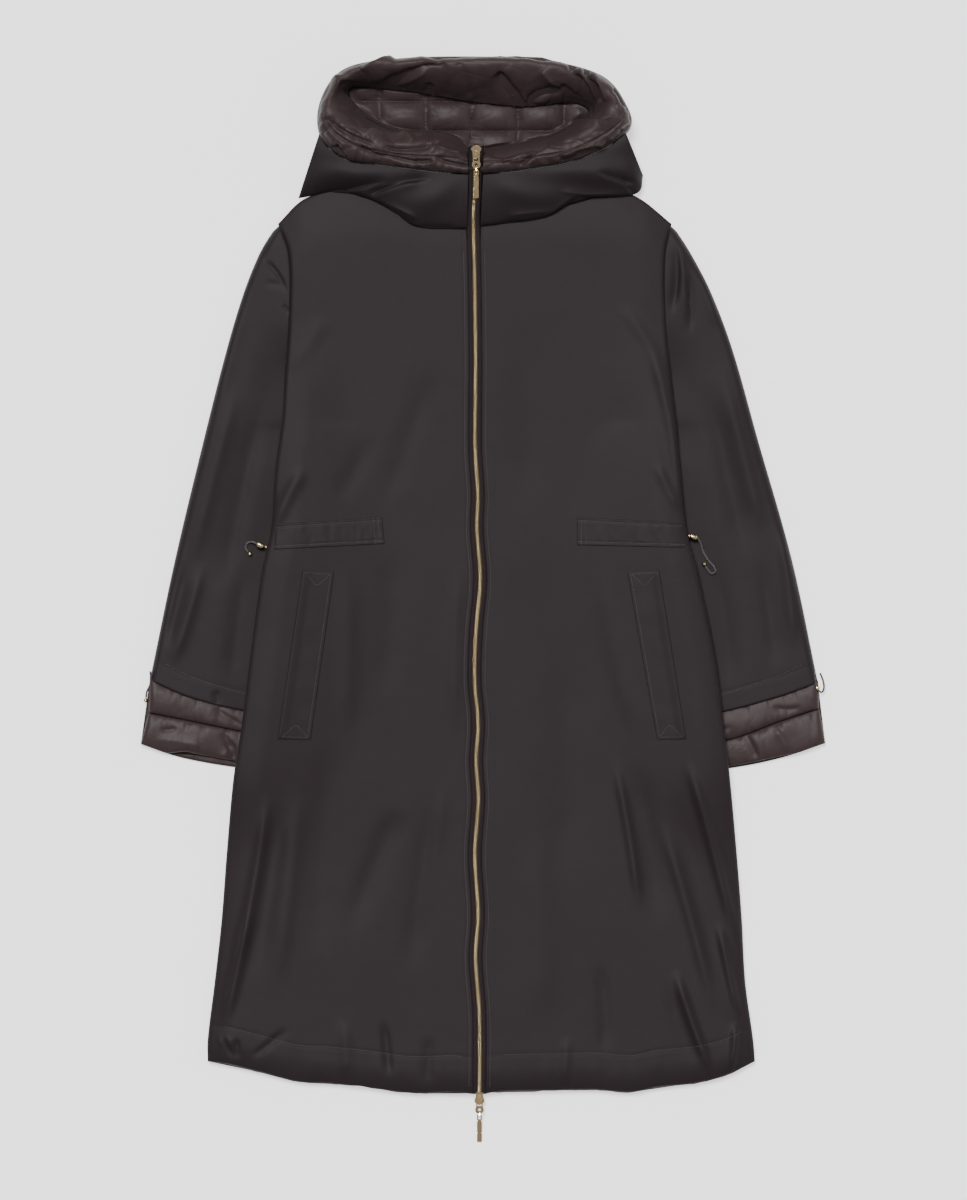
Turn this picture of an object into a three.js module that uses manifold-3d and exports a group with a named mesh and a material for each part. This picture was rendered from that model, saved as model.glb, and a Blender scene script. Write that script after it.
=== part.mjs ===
// A padded women's parka with a hood and a two-way metal zip, laid flat on its back.
// Millimetres. +X is right as seen from above, +Y runs from hem to hood, +Z is up from the surface.
// The origin is the bottom centre of the whole coat: z = 0 is the surface that it lies on.
import * as THREE from 'three';
import { mergeVertices } from 'three/addons/utils/BufferGeometryUtils.js';
import Module from 'manifold-3d';

const wasm = await Module();
wasm.setup();

// Driving dimensions
const SEAM = 0.3;             // gap between two pieces that are sewn to each other
const BACK_WALL = 9;          // padded back panel
const FRONT_WALL = 12;        // padded front panels, fuller than the back
const EDGE_WALL = 3;          // thickness of a panel where its edge is rolled thin
const EDGE_ROLL = 34;         // width over which a panel grows from its edge to its full thickness
const SLEEVE_HIGH = 15;       // both walls of a sleeve where they show
const CUFF_HIGH = 14;         // both walls of a lining cuff
const TAPE_IN = 2.9;          // zip tape from the centre line, inner and outer side
const TAPE_OUT = 7.2;
const ZIP_HALF = 8;           // front edge of each front panel, from the centre line of the zip
const CHAIN_HALF = 2.5;       // half width of the closed teeth
const CORD_D = 2.2;           // drawcords
const BOWL_FLOOR = 8;         // cloth of the hood under the lining in its bowl
const ROWS_ARMHOLE = 8;       // grid rows of a front beside the armhole, also columns of a sleeve
const ROWS_BELOW = 28;        // grid rows from the underarm to the hem
const HEM_Y = -531;           // where the side edges end
const SHOULDER_Y = 433;
const UNDERARM_Y = 208;

// Colours of the finishes
const MATTE = { color: 0x383233, roughness: 0.8, metalness: 0 };
const SHINY = { color: 0x4b4142, roughness: 0.4, metalness: 0 };
const TAPE = { color: 0x1d1819, roughness: 0.9, metalness: 0 };
const GOLD = { color: 0xc9a86a, roughness: 0.3, metalness: 1 };
const CORD = { color: 0x2a2224, roughness: 0.7, metalness: 0 };

// Each side edge of the body from the shoulder to the hem: half widths left and right of the
// middle, how far the sleeve is tucked under the body, how high that lifts the body, how high the
// sleeve stands at the edge, and how thick the front panel is there.
const SIDE = [
  { y: 433, left: 236, right: 217, tuck: 0, lift: 0, sleeve: 14, edge: 6 },
  { y: 397, left: 224, right: 210, tuck: 0, lift: 0, sleeve: 17, edge: 9 },
  { y: 320, left: 224, right: 211, tuck: 0, lift: 0, sleeve: 17, edge: 9 },
  { y: 262, left: 228, right: 216, tuck: 0, lift: 4, sleeve: 11, edge: 8 },
  { y: 208, left: 231, right: 222, tuck: 0, lift: 9, sleeve: 5.5, edge: 6 },
  { y: 180, left: 235, right: 224.5, tuck: 0, lift: 10.5, sleeve: 6.5, edge: 5 },
  { y: 150, left: 239, right: 227, tuck: 18, lift: 12, sleeve: 8, edge: 4 },
  { y: 80, left: 244, right: 234, tuck: 60, lift: 14.5, sleeve: 11, edge: 3.5 },
  { y: 35, left: 254, right: 246, tuck: 72, lift: 15.5, sleeve: 12, edge: 3.5 },
  { y: -67, left: 268, right: 267, tuck: 72, lift: 15.5, sleeve: 12, edge: 3.5 },
  { y: -148, left: 278, right: 277, tuck: 60, lift: 15.5, sleeve: 12, edge: 3.5 },
  { y: -205, left: 287, right: 284, tuck: 55, lift: 13, sleeve: 11, edge: 3.5 },
  { y: -290, left: 295, right: 292, tuck: 55, lift: 1, sleeve: 1, edge: 3.5 },
  { y: -368, left: 301, right: 298, tuck: 55, lift: 0, sleeve: 1, edge: 3.5 },
  { y: -440, left: 309, right: 302, tuck: 55, lift: 0, sleeve: 1, edge: 3.5 },
  { y: -506, left: 317, right: 311, tuck: 55, lift: 0, sleeve: 1, edge: 3.5 },
  { y: -531, left: 317, right: 313, tuck: 55, lift: 0, sleeve: 1, edge: 3.5 },
];

// Upper edge of each front, from the shoulder point to the zip: the shoulder seam, then the neck seam
const NECK = [
  { t: 0.0, left: -236, leftY: 433, right: 217, rightY: 433 },
  { t: 0.14, left: -207, leftY: 461, right: 181, rightY: 462 },
  { t: 0.34, left: -153, leftY: 479, right: 136, rightY: 479 },
  { t: 0.66, left: -80, leftY: 477, right: 64, rightY: 477 },
  { t: 1.0, left: -17.5, leftY: 474, right: -1.5, rightY: 474 },
];

// The wavy hem of each front, from the side to the zip
const HEM = [
  { t: 0.0, left: -317, leftY: -531, right: 313, rightY: -531 },
  { t: 0.1, left: -292, leftY: -535, right: 284, rightY: -546 },
  { t: 0.22, left: -256, leftY: -544, right: 248, rightY: -556 },
  { t: 0.36, left: -212, leftY: -555, right: 201, rightY: -561 },
  { t: 0.47, left: -176, leftY: -557, right: 170, rightY: -567 },
  { t: 0.6, left: -138, leftY: -561, right: 128, rightY: -564 },
  { t: 0.76, left: -83, leftY: -568, right: 74, rightY: -565 },
  { t: 0.9, left: -36, leftY: -567, right: 24, rightY: -566 },
  { t: 1.0, left: -12, leftY: -569, right: 4, rightY: -568 },
];

// The wavy centre line of the zip
const ZIP = [
  { y: 524, x: -7 }, { y: 500, x: -8.7 }, { y: 460, x: -9.9 }, { y: 444, x: -11.2 },
  { y: 402, x: -10.4 }, { y: 345, x: -9.2 }, { y: 264, x: -8.5 }, { y: 230, x: -8.9 },
  { y: 172, x: -8.9 }, { y: 120, x: -5.9 }, { y: 83, x: -7.2 }, { y: 23, x: -3.1 },
  { y: -34, x: -7.9 }, { y: -92, x: -9.7 }, { y: -142, x: -5.6 }, { y: -186, x: -7.9 },
  { y: -230, x: -5.3 }, { y: -293, x: -9.4 }, { y: -362, x: -5.6 }, { y: -412, x: -8.6 },
  { y: -476, x: -4.2 }, { y: -570, x: -4.1 },
];

// The largest folds of the fronts: a ridge or a trough along a line, with its height and half width
const FOLDS = [
  { x0: -245, y0: -222, x1: -262, y1: -360, x2: -297, y2: -498, high: 4.5, wide: 15 },
  { x0: 237, y0: -189, x1: 276, y1: -313, x2: 300, y2: -422, high: 5, wide: 13 },
  { x0: 209, y0: -265, x1: 246, y1: -410, x2: 267, y2: -471, high: 3.5, wide: 15 },
  { x0: 224, y0: -429, x1: 248, y1: -510, x2: 266, y2: -547, high: 4, wide: 12 },
  { x0: 271, y0: -368, x1: 285, y1: -440, x2: 296, y2: -486, high: 3.5, wide: 11 },
  { x0: -91, y0: -240, x1: -118, y1: -316, x2: -155, y2: -392, high: -3.5, wide: 22 },
  { x0: -55, y0: -240, x1: -67, y1: -330, x2: -83, y2: -435, high: -3, wide: 20 },
  { x0: 152, y0: -185, x1: 179, y1: -325, x2: 182, y2: -353, high: 3, wide: 18 },
  { x0: -54, y0: 259, x1: -80, y1: 190, x2: -104, y2: 130, high: -2.5, wide: 22 },
  { x0: 154, y0: 330, x1: 205, y1: 272, x2: 216, y2: 229, high: 2.5, wide: 16 },
];

// Outer edge of each sleeve from the shoulder to its hem
const SLEEVE = [
  { t: 0.0, left: -236.5, leftY: 433, right: 217.5, rightY: 433 },
  { t: 0.1, left: -257, leftY: 400, right: 239, rightY: 400 },
  { t: 0.18, left: -275, leftY: 356, right: 262, rightY: 356 },
  { t: 0.3, left: -295, leftY: 290, right: 287, rightY: 290 },
  { t: 0.5, left: -322, leftY: 184, right: 317, rightY: 184 },
  { t: 0.75, left: -355, leftY: 46, right: 356, rightY: 46 },
  { t: 1.0, left: -384, leftY: -93, right: 386, rightY: -96 },
];

// Lines across each arm, from its outer edge (t = 0) to its hidden underarm edge (t = 1):
// the hem of the sleeve, the seam between the tiers of the cuff, and the lower edge of the cuff
const ARM_LINES = {
  hem: [
    { t: 0.0, left: -384, leftY: -93, right: 386, rightY: -96 },
    { t: 0.3, left: -340, leftY: -112, right: 341, rightY: -112 },
    { t: 0.65, left: -282, leftY: -127, right: 282, rightY: -128 },
    { t: 1.0, left: -222, leftY: -136, right: 222, rightY: -138 },
  ],
  tier: [
    { t: 0.0, left: -385, leftY: -130, right: 387, rightY: -125 },
    { t: 0.3, left: -343, leftY: -138, right: 344, rightY: -139 },
    { t: 0.65, left: -285, leftY: -150, right: 286, rightY: -160 },
    { t: 1.0, left: -226, leftY: -160, right: 226, rightY: -168 },
  ],
  end: [
    { t: 0.0, left: -394.3, leftY: -166, right: 394.3, rightY: -165 },
    { t: 0.3, left: -350, leftY: -181, right: 347, rightY: -181 },
    { t: 0.65, left: -291, leftY: -192, right: 290, rightY: -193 },
    { t: 1.0, left: -230, leftY: -198, right: 230, rightY: -199 },
  ],
};

// The hood's padded facing from the zip round to the zip again, seen from above: its inner seam in
// the bowl, its crest and its outer seam, with the crest's and the outer seam's heights
const RING = [
  { ix: -17, iy: 521, cx: -17, cy: 508, ox: -17, oy: 489, crest: 48, outer: 42 },
  { ix: -41, iy: 538, cx: -42, cy: 518, ox: -49, oy: 491, crest: 50, outer: 42 },
  { ix: -92, iy: 541, cx: -101, cy: 521, ox: -107, oy: 498, crest: 54, outer: 40 },
  { ix: -130, iy: 556, cx: -144, cy: 538, ox: -155, oy: 505, crest: 58, outer: 38 },
  { ix: -153, iy: 577, cx: -171, cy: 562, ox: -187, oy: 532, crest: 60, outer: 38 },
  { ix: -150, iy: 590, cx: -168, cy: 585, ox: -187, oy: 574, crest: 60, outer: 34 },
  { ix: -120, iy: 588, cx: -143, cy: 605, ox: -160, oy: 610, crest: 60, outer: 30 },
  { ix: -80, iy: 584, cx: -92, cy: 611, ox: -100, oy: 622, crest: 60, outer: 30 },
  { ix: -15, iy: 573, cx: -15, cy: 611, ox: -15, oy: 624.3, crest: 62, outer: 30 },
  { ix: 49, iy: 567, cx: 60, cy: 609, ox: 70, oy: 620, crest: 60, outer: 30 },
  { ix: 100, iy: 572, cx: 120, cy: 595, ox: 134, oy: 604, crest: 62, outer: 30 },
  { ix: 122, iy: 562, cx: 147, cy: 574, ox: 162, oy: 574, crest: 62, outer: 34 },
  { ix: 104, iy: 549, cx: 138, cy: 550, ox: 168, oy: 540, crest: 60, outer: 38 },
  { ix: 68, iy: 532, cx: 95, cy: 524, ox: 116, oy: 508, crest: 56, outer: 40 },
  { ix: 28, iy: 524, cx: 40, cy: 512, ox: 50, oy: 494, crest: 50, outer: 42 },
  { ix: 0, iy: 519, cx: 0, cy: 507, ox: 0, oy: 489, crest: 48, outer: 42 },
];
const RING_SECTIONS = 36;
const BOWL = { x: -6, y: 551 };

// The matte cowl on each side: the sections of the ring that it is sewn to, and its lower folded
// edge from the wing at the shoulder (t = 0) to the zip (t = 1)
const COWL_SECTIONS = { left: { from: 10, to: 0 }, right: { from: 29, to: 36 } };
const COWL_WALL = 4;
const COWL_FOLD = [
  { t: 0.0, left: -209, leftY: 462, right: 183, rightY: 482 },
  { t: 0.22, left: -163, leftY: 470, right: 168, rightY: 466 },
  { t: 0.45, left: -116, leftY: 455, right: 112, rightY: 461 },
  { t: 0.7, left: -77, leftY: 430, right: 68, rightY: 440 },
  { t: 1.0, left: -19, leftY: 427, right: -2, rightY: 430 },
];

// Height of the zip's middle plane: over the cowl, along the fronts, and down at the hem
const TOP_SLOPE = 0.26;
const HEM_SLOPE = 0.277;
const ZIP_ENDS = {
  top: { y: 514, z: 46.3, pitch: Math.atan(TOP_SLOPE), nose: 1 },
  bottom: { y: -572, z: 12, pitch: Math.atan(HEM_SLOPE), nose: -1 },
};
const topLine = (y) => ({ y, z: ZIP_ENDS.top.z + (y - ZIP_ENDS.top.y) * TOP_SLOPE });
const hemLine = (y) => ({ y, z: ZIP_ENDS.bottom.z + (y - ZIP_ENDS.bottom.y) * HEM_SLOPE });
const ZIP_HIGH = [
  topLine(524), topLine(500), topLine(476), topLine(460), topLine(440), topLine(420),
  { y: 400, z: 20 }, { y: 380, z: 19.6 }, { y: 0, z: 19.6 }, { y: -530, z: 19.6 },
  hemLine(-546), hemLine(-558), hemLine(-572), hemLine(-580),
];
const CHAIN_HIGH = 1.5;       // half thickness of the chain
const SLIDER = {
  half: 2.7,                  // half thickness over both plates
  hingeY: -3,                 // where the pull's link turns, along the zip and above its middle plane
  hingeZ: 4.1,
  reach: 10,                  // past the ends of the slider, for its cuts
  wedge: 3,                   // where the channels of the two halves part
  room: 0.8,                  // clearance round the teeth
  web: 1.3,                   // half width of the post between the channels
  slot: 0.9,                  // half height of the slots for the tapes
  bridge: { long: 4.6, wall: 1.2, high: 2.3 },
};
const LINK_LONG = 17.6;       // from the slider's bridge to the eye
const BAR_LONG = 32.5;
const PULL_THICK = 1.4;
const EYE = { outer: 2.05, inner: 1.25, wide: 1.2, neck: 2.8 };

// Corners of the stitched casings at the waist and of the pocket welts
const CASING = {
  left: [[-238, 87], [-116, 95.5], [-113, 64.5], [-240, 58]],
  right: [[229, 88.5], [108, 95.5], [108, 63], [232, 60]],
};
const WELT = {
  left: [[-207, 34.5], [-171, 32], [-198, -161], [-236, -160]],
  right: [[202.4, 34.5], [165.6, 32], [200, -161], [233.5, -160]],
};

// Turned metal pieces: rows of radius and place along the axis
const PROFILES = {
  eyelet: [[1.6, -0.6], [3, -0.6], [3, 0.6], [1.6, 0.6], [1.6, -0.6]],
  stopper: [[1.7, -4], [2.5, -4], [3.3, -1.5], [3.6, 2.5], [2.6, 4], [1.7, 4], [1.7, -4]],
  collar: [[1.8, -2], [2.4, -2], [3, 0], [2.4, 2], [1.8, 2], [1.8, -2]],
  bead: [[0, -2.6], [1.8, -2], [2.6, 0], [1.8, 2], [0, 2.6]],
};

// Drawcords: the route of each, and the metal pieces round it or at its end
const CORDS = {
  waist_left: {
    route: [[-248.9, 61, 21], [-251.9, 61.3, 20.9], [-256, 63, 20.3], [-260.4, 64.8, 19.6],
      [-266.5, 67, 16.4], [-271.5, 65, 15.4], [-273, 59.5, 15.4], [-270, 55.5, 15.5]],
    pieces: [['eyelet', [-249.5, 61, 21], [-1, 0, 0]],
      ['stopper', [-256, 63, 20.3], [-0.92, 0.38, -0.14]],
      ['bead', [-268.3, 53.2, 15.9], [0.6, -0.8, 0]]],
  },
  waist_right: {
    route: [[236.3, 73.6, 21], [238.6, 73.6, 21], [242.2, 72.5, 20.6], [246.4, 71.3, 20.1],
      [250.5, 65, 17.2], [253.5, 55, 15.6], [259, 46, 15.4], [265, 39, 15.4], [267.5, 33, 15.4],
      [263.5, 30.5, 15.4], [258.5, 35, 15.4], [256, 39, 15.4]],
    pieces: [['eyelet', [236.9, 73.6, 21], [1, 0, 0]],
      ['stopper', [242.2, 72.5, 20.6], [0.95, -0.28, -0.12]],
      ['bead', [254.5, 41.5, 15.6], [-0.53, 0.85, 0]]],
  },
  cuff_left: {
    route: [[-383, -82, 11], [-382.5, -90, 10.4], [-383.5, -98, 9.2], [-387, -105.5, 7.6],
      [-388.2, -112.5, 6.6]],
    pieces: [['bead', [-388.5, -115.4, 6.5], [-0.1, -1, 0]]],
  },
  cuff_right: {
    route: [[381, -82, 11], [381.5, -90, 11.1], [383.2, -98, 11.3], [386.6, -104.5, 10.9],
      [390.5, -106, 9.4], [392.6, -100, 8.2], [391, -91, 7.4], [388, -84, 7.2]],
    pieces: [['collar', [384.9, -101.4, 11.2], [0.46, -0.88, -0.05]]],
  },
};

// A value that eases from 0 to 1 between two limits
function ease(value, low, high) {
  const t = Math.min(Math.max((value - low) / (high - low), 0), 1);
  return t * t * (3 - 2 * t);
}

// A smooth line through one column of a table, read at any value of its key column
function column(table, key, name) {
  const rising = table[0][key] < table[table.length - 1][key];
  const rows = rising ? table : [...table].reverse();
  const slope = rows.map((row, i) => {
    const before = rows[Math.max(i - 1, 0)];
    const after = rows[Math.min(i + 1, rows.length - 1)];
    return (after[name] - before[name]) / (after[key] - before[key]);
  });
  return (at) => {
    const k = Math.min(Math.max(at, rows[0][key]), rows[rows.length - 1][key]);
    let i = 0;
    while (i < rows.length - 2 && rows[i + 1][key] < k) i += 1;
    const span = rows[i + 1][key] - rows[i][key];
    const t = (k - rows[i][key]) / span;
    const a = 2 * t ** 3 - 3 * t ** 2 + 1;
    const b = t ** 3 - 2 * t ** 2 + t;
    const c = t ** 3 - t ** 2;
    return a * rows[i][name] + b * span * slope[i] + (1 - a) * rows[i + 1][name]
      + c * span * slope[i + 1];
  };
}

// A line in plan from a table with a left and a right version
function line(table, side) {
  const x = column(table, 't', side);
  const y = column(table, 't', `${side}Y`);
  return (t) => [x(t), y(t)];
}

const zipX = column(ZIP, 'y', 'x');
const sideOf = (name) => column(SIDE, 'y', name);
const SIDES = {
  left: { sign: -1, half: sideOf('left') },
  right: { sign: 1, half: sideOf('right') },
};
const tuck = sideOf('tuck');
const lift = sideOf('lift');
const sleeveAtEdge = sideOf('sleeve');
const frontAtEdge = sideOf('edge');

const garment = new THREE.Group();

// One named mesh in the coat
function addMesh(name, finish, geometry, parent = garment) {
  const mesh = new THREE.Mesh(geometry, new THREE.MeshStandardMaterial(finish));
  mesh.name = name;
  parent.add(mesh);
  return mesh;
}

// A closed mesh from points and faces, turned so that its faces point out
function closedGeometry(points, faces) {
  let volume = 0;
  for (const [a, b, c] of faces) {
    const [p, q, r] = [points[a], points[b], points[c]];
    volume += p[0] * (q[1] * r[2] - q[2] * r[1]) - p[1] * (q[0] * r[2] - q[2] * r[0])
      + p[2] * (q[0] * r[1] - q[1] * r[0]);
  }
  const outward = volume > 0 ? faces : faces.map(([a, b, c]) => [a, c, b]);
  const geometry = new THREE.BufferGeometry();
  geometry.setAttribute('position', new THREE.Float32BufferAttribute(points.flat(), 3));
  geometry.setIndex(outward.flat());
  return geometry;
}

// A wall of cloth between an upper and a lower skin that share one grid of rows and columns
function wall(upper, lower, turned = false) {
  const rows = upper.length;
  const cols = upper[0].length;
  const points = [...upper.flat(), ...lower.flat()];
  const up = (j, i) => j * cols + i;
  const down = (j, i) => rows * cols + j * cols + i;
  const faces = [];
  for (let j = 0; j < rows - 1; j += 1) {
    for (let i = 0; i < cols - 1; i += 1) {
      const cell = [[j, i], [j, i + 1], [j + 1, i + 1], [j + 1, i]];
      const [a, b, c, d] = turned ? [cell[1], cell[2], cell[3], cell[0]] : cell;
      faces.push([up(...a), up(...b), up(...c)], [up(...a), up(...c), up(...d)]);
      faces.push([down(...a), down(...c), down(...b)], [down(...a), down(...d), down(...c)]);
    }
  }
  const rim = [];
  for (let i = 0; i < cols - 1; i += 1) rim.push([0, i]);
  for (let j = 0; j < rows - 1; j += 1) rim.push([j, cols - 1]);
  for (let i = cols - 1; i > 0; i -= 1) rim.push([rows - 1, i]);
  for (let j = rows - 1; j > 0; j -= 1) rim.push([j, 0]);
  rim.forEach(([j, i], k) => {
    const [jn, inn] = rim[(k + 1) % rim.length];
    faces.push([up(j, i), down(j, i), up(jn, inn)], [up(jn, inn), down(j, i), down(jn, inn)]);
  });
  return closedGeometry(points, faces);
}

// Height of a skin at a place in plan, on the flat triangles between its grid points
function heightOn(skin, x, y) {
  let best = null;
  let nearest = Infinity;
  for (let j = 0; j < skin.length - 1; j += 1) {
    for (let i = 0; i < skin[0].length - 1; i += 1) {
      const corners = [skin[j][i], skin[j][i + 1], skin[j + 1][i + 1], skin[j + 1][i]];
      for (const [a, b, c] of [[0, 1, 2], [0, 2, 3]].map((t) => t.map((k) => corners[k]))) {
        const area = (b[0] - a[0]) * (c[1] - a[1]) - (b[1] - a[1]) * (c[0] - a[0]);
        const v = ((x - a[0]) * (c[1] - a[1]) - (y - a[1]) * (c[0] - a[0])) / area;
        const w = ((b[0] - a[0]) * (y - a[1]) - (b[1] - a[1]) * (x - a[0])) / area;
        const outside = Math.max(0, -v, -w, v + w - 1);
        if (outside < nearest) {
          nearest = outside;
          best = a[2] + v * (b[2] - a[2]) + w * (c[2] - a[2]);
        }
      }
    }
  }
  return best;
}

// A patch in plan between four edge lines: u runs along top and bottom, v down the two sides
function patch(top, bottom, first, last, us, vs) {
  const corner = [top(0), top(1), bottom(0), bottom(1)];
  return vs.map((v) => us.map((u) => [0, 1].map((k) => (
    (1 - v) * top(u)[k] + v * bottom(u)[k] + (1 - u) * first(v)[k] + u * last(v)[k]
    - (1 - u) * (1 - v) * corner[0][k] - u * (1 - v) * corner[1][k]
    - (1 - u) * v * corner[2][k] - u * v * corner[3][k]))));
}

// Even steps from 0 to 1
const steps = (count) => Array.from({ length: count + 1 }, (_, i) => i / count);

// Height of the folds at a place on the fronts
function folds(x, y) {
  let high = 0;
  for (const fold of FOLDS) {
    let near = Infinity;
    let along = 0;
    for (let k = 0; k <= 12; k += 1) {
      const t = k / 12;
      const px = (1 - t) ** 2 * fold.x0 + 2 * t * (1 - t) * fold.x1 + t * t * fold.x2;
      const py = (1 - t) ** 2 * fold.y0 + 2 * t * (1 - t) * fold.y1 + t * t * fold.y2;
      const far = Math.hypot(x - px, y - py);
      if (far < near) [near, along] = [far, t];
    }
    const fade = ease(along, -0.05, 0.2) * (1 - ease(along, 0.8, 1.05));
    high += fold.high * fade * Math.exp(-((near / fold.wide) ** 2));
  }
  return high;
}

// Body: a grid for each half, shared by the back and by the front that lies on it
const bodyRows = [
  ...Array.from({ length: ROWS_ARMHOLE }, (_, j) => SHOULDER_Y
    + (UNDERARM_Y - SHOULDER_Y) * (j / ROWS_ARMHOLE)),
  ...Array.from({ length: ROWS_BELOW + 1 }, (_, j) => UNDERARM_Y
    + (HEM_Y - UNDERARM_Y) * (j / ROWS_BELOW)),
];
const bodyV = bodyRows.map((y) => (SHOULDER_Y - y) / (SHOULDER_Y - HEM_Y));
const BODY_U = [0, 0.055, 0.16, 0.32, 0.5, 0.68, 0.85, 1];
const NECK_EDGE_Y = 474;
const HEM_EDGE_Y = -568.5;

function bodyPlan(side) {
  const { sign, half } = SIDES[side];
  const outer = (v) => {
    const y = SHOULDER_Y + (HEM_Y - SHOULDER_Y) * v;
    return [sign * half(y), y];
  };
  const inner = (v) => {
    const y = NECK_EDGE_Y + (HEM_EDGE_Y - NECK_EDGE_Y) * v;
    return [zipX(y) + sign * ZIP_HALF, y];
  };
  const neck = line(NECK, side);
  const hem = line(HEM, side);
  const top = (u) => (u === 0 ? outer(0) : u === 1 ? inner(0) : neck(u));
  const bottom = (u) => (u === 0 ? outer(1) : u === 1 ? inner(1) : hem(u));
  const us = sign < 0 ? BODY_U : [...BODY_U].reverse();
  return patch(top, bottom, outer, inner, us, bodyV);
}

// How far the tucked sleeve lifts the body, by the distance inward from the side edge
function bodyLift(side, x, y) {
  const inward = SIDES[side].half(y) - SIDES[side].sign * x;
  return Math.max(0, lift(y)) * Math.max(0, 1 - Math.max(inward, 0) / (tuck(y) + 70));
}

const skins = {};
for (const side of ['left', 'right']) {
  const plan = bodyPlan(side);
  const last = plan.length - 1;
  const backUpper = plan.map((row) => row.map(([x, y]) => [x, y, bodyLift(side, x, y) + BACK_WALL]));
  const backLower = plan.map((row) => row.map(([x, y]) => [x, y, bodyLift(side, x, y)]));
  const frontLower = backUpper.map((row) => row.map(([x, y, z]) => [x, y, z + SEAM]));
  const frontUpper = plan.map((row, j) => row.map(([x, y], i) => {
    const fromSide = SIDES[side].half(y) - SIDES[side].sign * x;
    const edge = frontAtEdge(y);
    const crown = edge + (FRONT_WALL - edge) * Math.sqrt(ease(fromSide, -4, EDGE_ROLL));
    const ends = Math.min(0.35 + 0.5 * j, 0.3 + 0.6 * (last - j), 1);
    const thick = Math.max(crown * ends + folds(x, y) * Math.min(ends, 1), EDGE_WALL);
    return [x, y, frontLower[j][i][2] + thick];
  }));
  skins[side] = { backUpper, backLower, frontUpper };
  addMesh(`front_${side}`, MATTE, wall(frontUpper, frontLower));
}
const joined = (name) => skins.left[name].map((row, j) => [...row, ...skins.right[name][j]]);
addMesh('back', MATTE, wall(joined('backUpper'), joined('backLower')));

// Height of the sleeve at a place in plan: thin where it is tucked under the body
function sleeveTop(side, x, y) {
  const { sign, half } = SIDES[side];
  const outside = sign * x - half(y);
  const edge = sleeveAtEdge(y);
  if (outside < 0) return edge * (1 - 0.6 * Math.min(-outside / Math.max(tuck(y), 20), 1));
  return edge + (SLEEVE_HIGH - edge) * ease(outside, 0, 45);
}

// Arms: the sleeve's front lies on its back, and the two tiers of the cuff on the back of the cuff
const ARM_WALL = 0.42;        // share of an arm's height that its back takes
const SLEEVE_ROWS = 13;
const CUFF_ROWS = 3;
const HEM_GAP = 0.012;        // gap between bands of an arm, as a share of a band's length
const CUFF_BACK_WALL = 0.336; // share of a cuff's height that its back takes
const ROLL = { first: 0.42, second: 0.88, seam: 0.72, corner: 0.6, cuffFirst: 0.6, cuffSecond: 0.92 };
for (const side of ['left', 'right']) {
  const { sign, half } = SIDES[side];
  const armhole = (u) => {
    const y = SHOULDER_Y + (UNDERARM_Y - SHOULDER_Y) * u;
    return [sign * (half(y) + SEAM), y];
  };
  const hem = line(ARM_LINES.hem, side);
  const silhouette = line(SLEEVE, side);
  const outer = (v) => (v === 0 ? armhole(0) : v === 1 ? hem(0) : silhouette(v));
  const hidden = (v) => {
    const y = UNDERARM_Y + (hem(1)[1] - UNDERARM_Y) * v;
    return v === 0 ? armhole(1) : v === 1 ? hem(1) : [sign * (half(y) + 2 * SEAM - tuck(y)), y];
  };
  const US = steps(ROWS_ARMHOLE);
  const sleeve = patch(armhole, hem, outer, hidden, US, steps(SLEEVE_ROWS));
  const arms = (plan, share, round) => {
    const skin = (level) => plan.map((row, j) => row.map(([x, y], i) => {
      const edge = round(j, i);
      return [x, y, level(sleeveTop(side, x, y) * edge)];
    }));
    return {
      lower: skin(() => 0),
      middle: skin((z) => z * share),
      over: skin((z) => z * share + SEAM),
      upper: skin((z) => z),
    };
  };
  const shape = arms(sleeve, ARM_WALL, (j, i) => {
    const outerRoll = i === 0 ? ROLL.first : i === 1 ? ROLL.second : 1;
    const seamRoll = j === SLEEVE_ROWS ? ROLL.seam : 1;
    return j === 0 && i === 0 ? ROLL.corner : outerRoll * seamRoll;
  });
  addMesh(`sleeve_${side}_back`, MATTE, wall(shape.middle, shape.lower, true));
  addMesh(`sleeve_${side}_front`, MATTE, wall(shape.upper, shape.over, true));

  const tierLine = line(ARM_LINES.tier, side);
  const endLine = line(ARM_LINES.end, side);
  const band = (from, to, gap) => steps(CUFF_ROWS).map((v) => US.map((u) => {
    const [a, b] = [from(u), to(u)];
    const w = v * (1 - gap) + gap * (from === hem || from === tierLine ? 1 : 0);
    return [a[0] + w * (b[0] - a[0]), a[1] + w * (b[1] - a[1])];
  }));
  const puff = (v) => 0.5 + 0.5 * Math.sqrt(Math.max(1 - (2 * v - 1) ** 2, 0));
  const cuffTop = (x, y) => sleeveTop(side, x, y) * CUFF_HIGH / SLEEVE_HIGH;
  const cuffSkin = (plan, level) => plan.map((row, j) => row.map(([x, y], i) => {
    const roll = i === 0 ? ROLL.cuffFirst : i === 1 ? ROLL.cuffSecond : 1;
    const v = j / (plan.length - 1);
    return [x, y, level(cuffTop(x, y) * roll, v)];
  }));
  for (const [name, from, to] of [['upper', hem, tierLine], ['lower', tierLine, endLine]]) {
    const plan = band(from, to, HEM_GAP);
    addMesh(`cuff_${side}_${name}`, SHINY, wall(
      cuffSkin(plan, (z, v) => ARM_WALL * z + SEAM + (1 - ARM_WALL) * z * puff(v)),
      cuffSkin(plan, (z) => ARM_WALL * z + SEAM),
    ));
  }
  const whole = band(hem, endLine, HEM_GAP * 0.6);
  addMesh(`cuff_${side}_back`, SHINY, wall(
    cuffSkin(whole, (z) => CUFF_BACK_WALL * z),
    cuffSkin(whole, () => 0),
  ));
}

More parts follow.
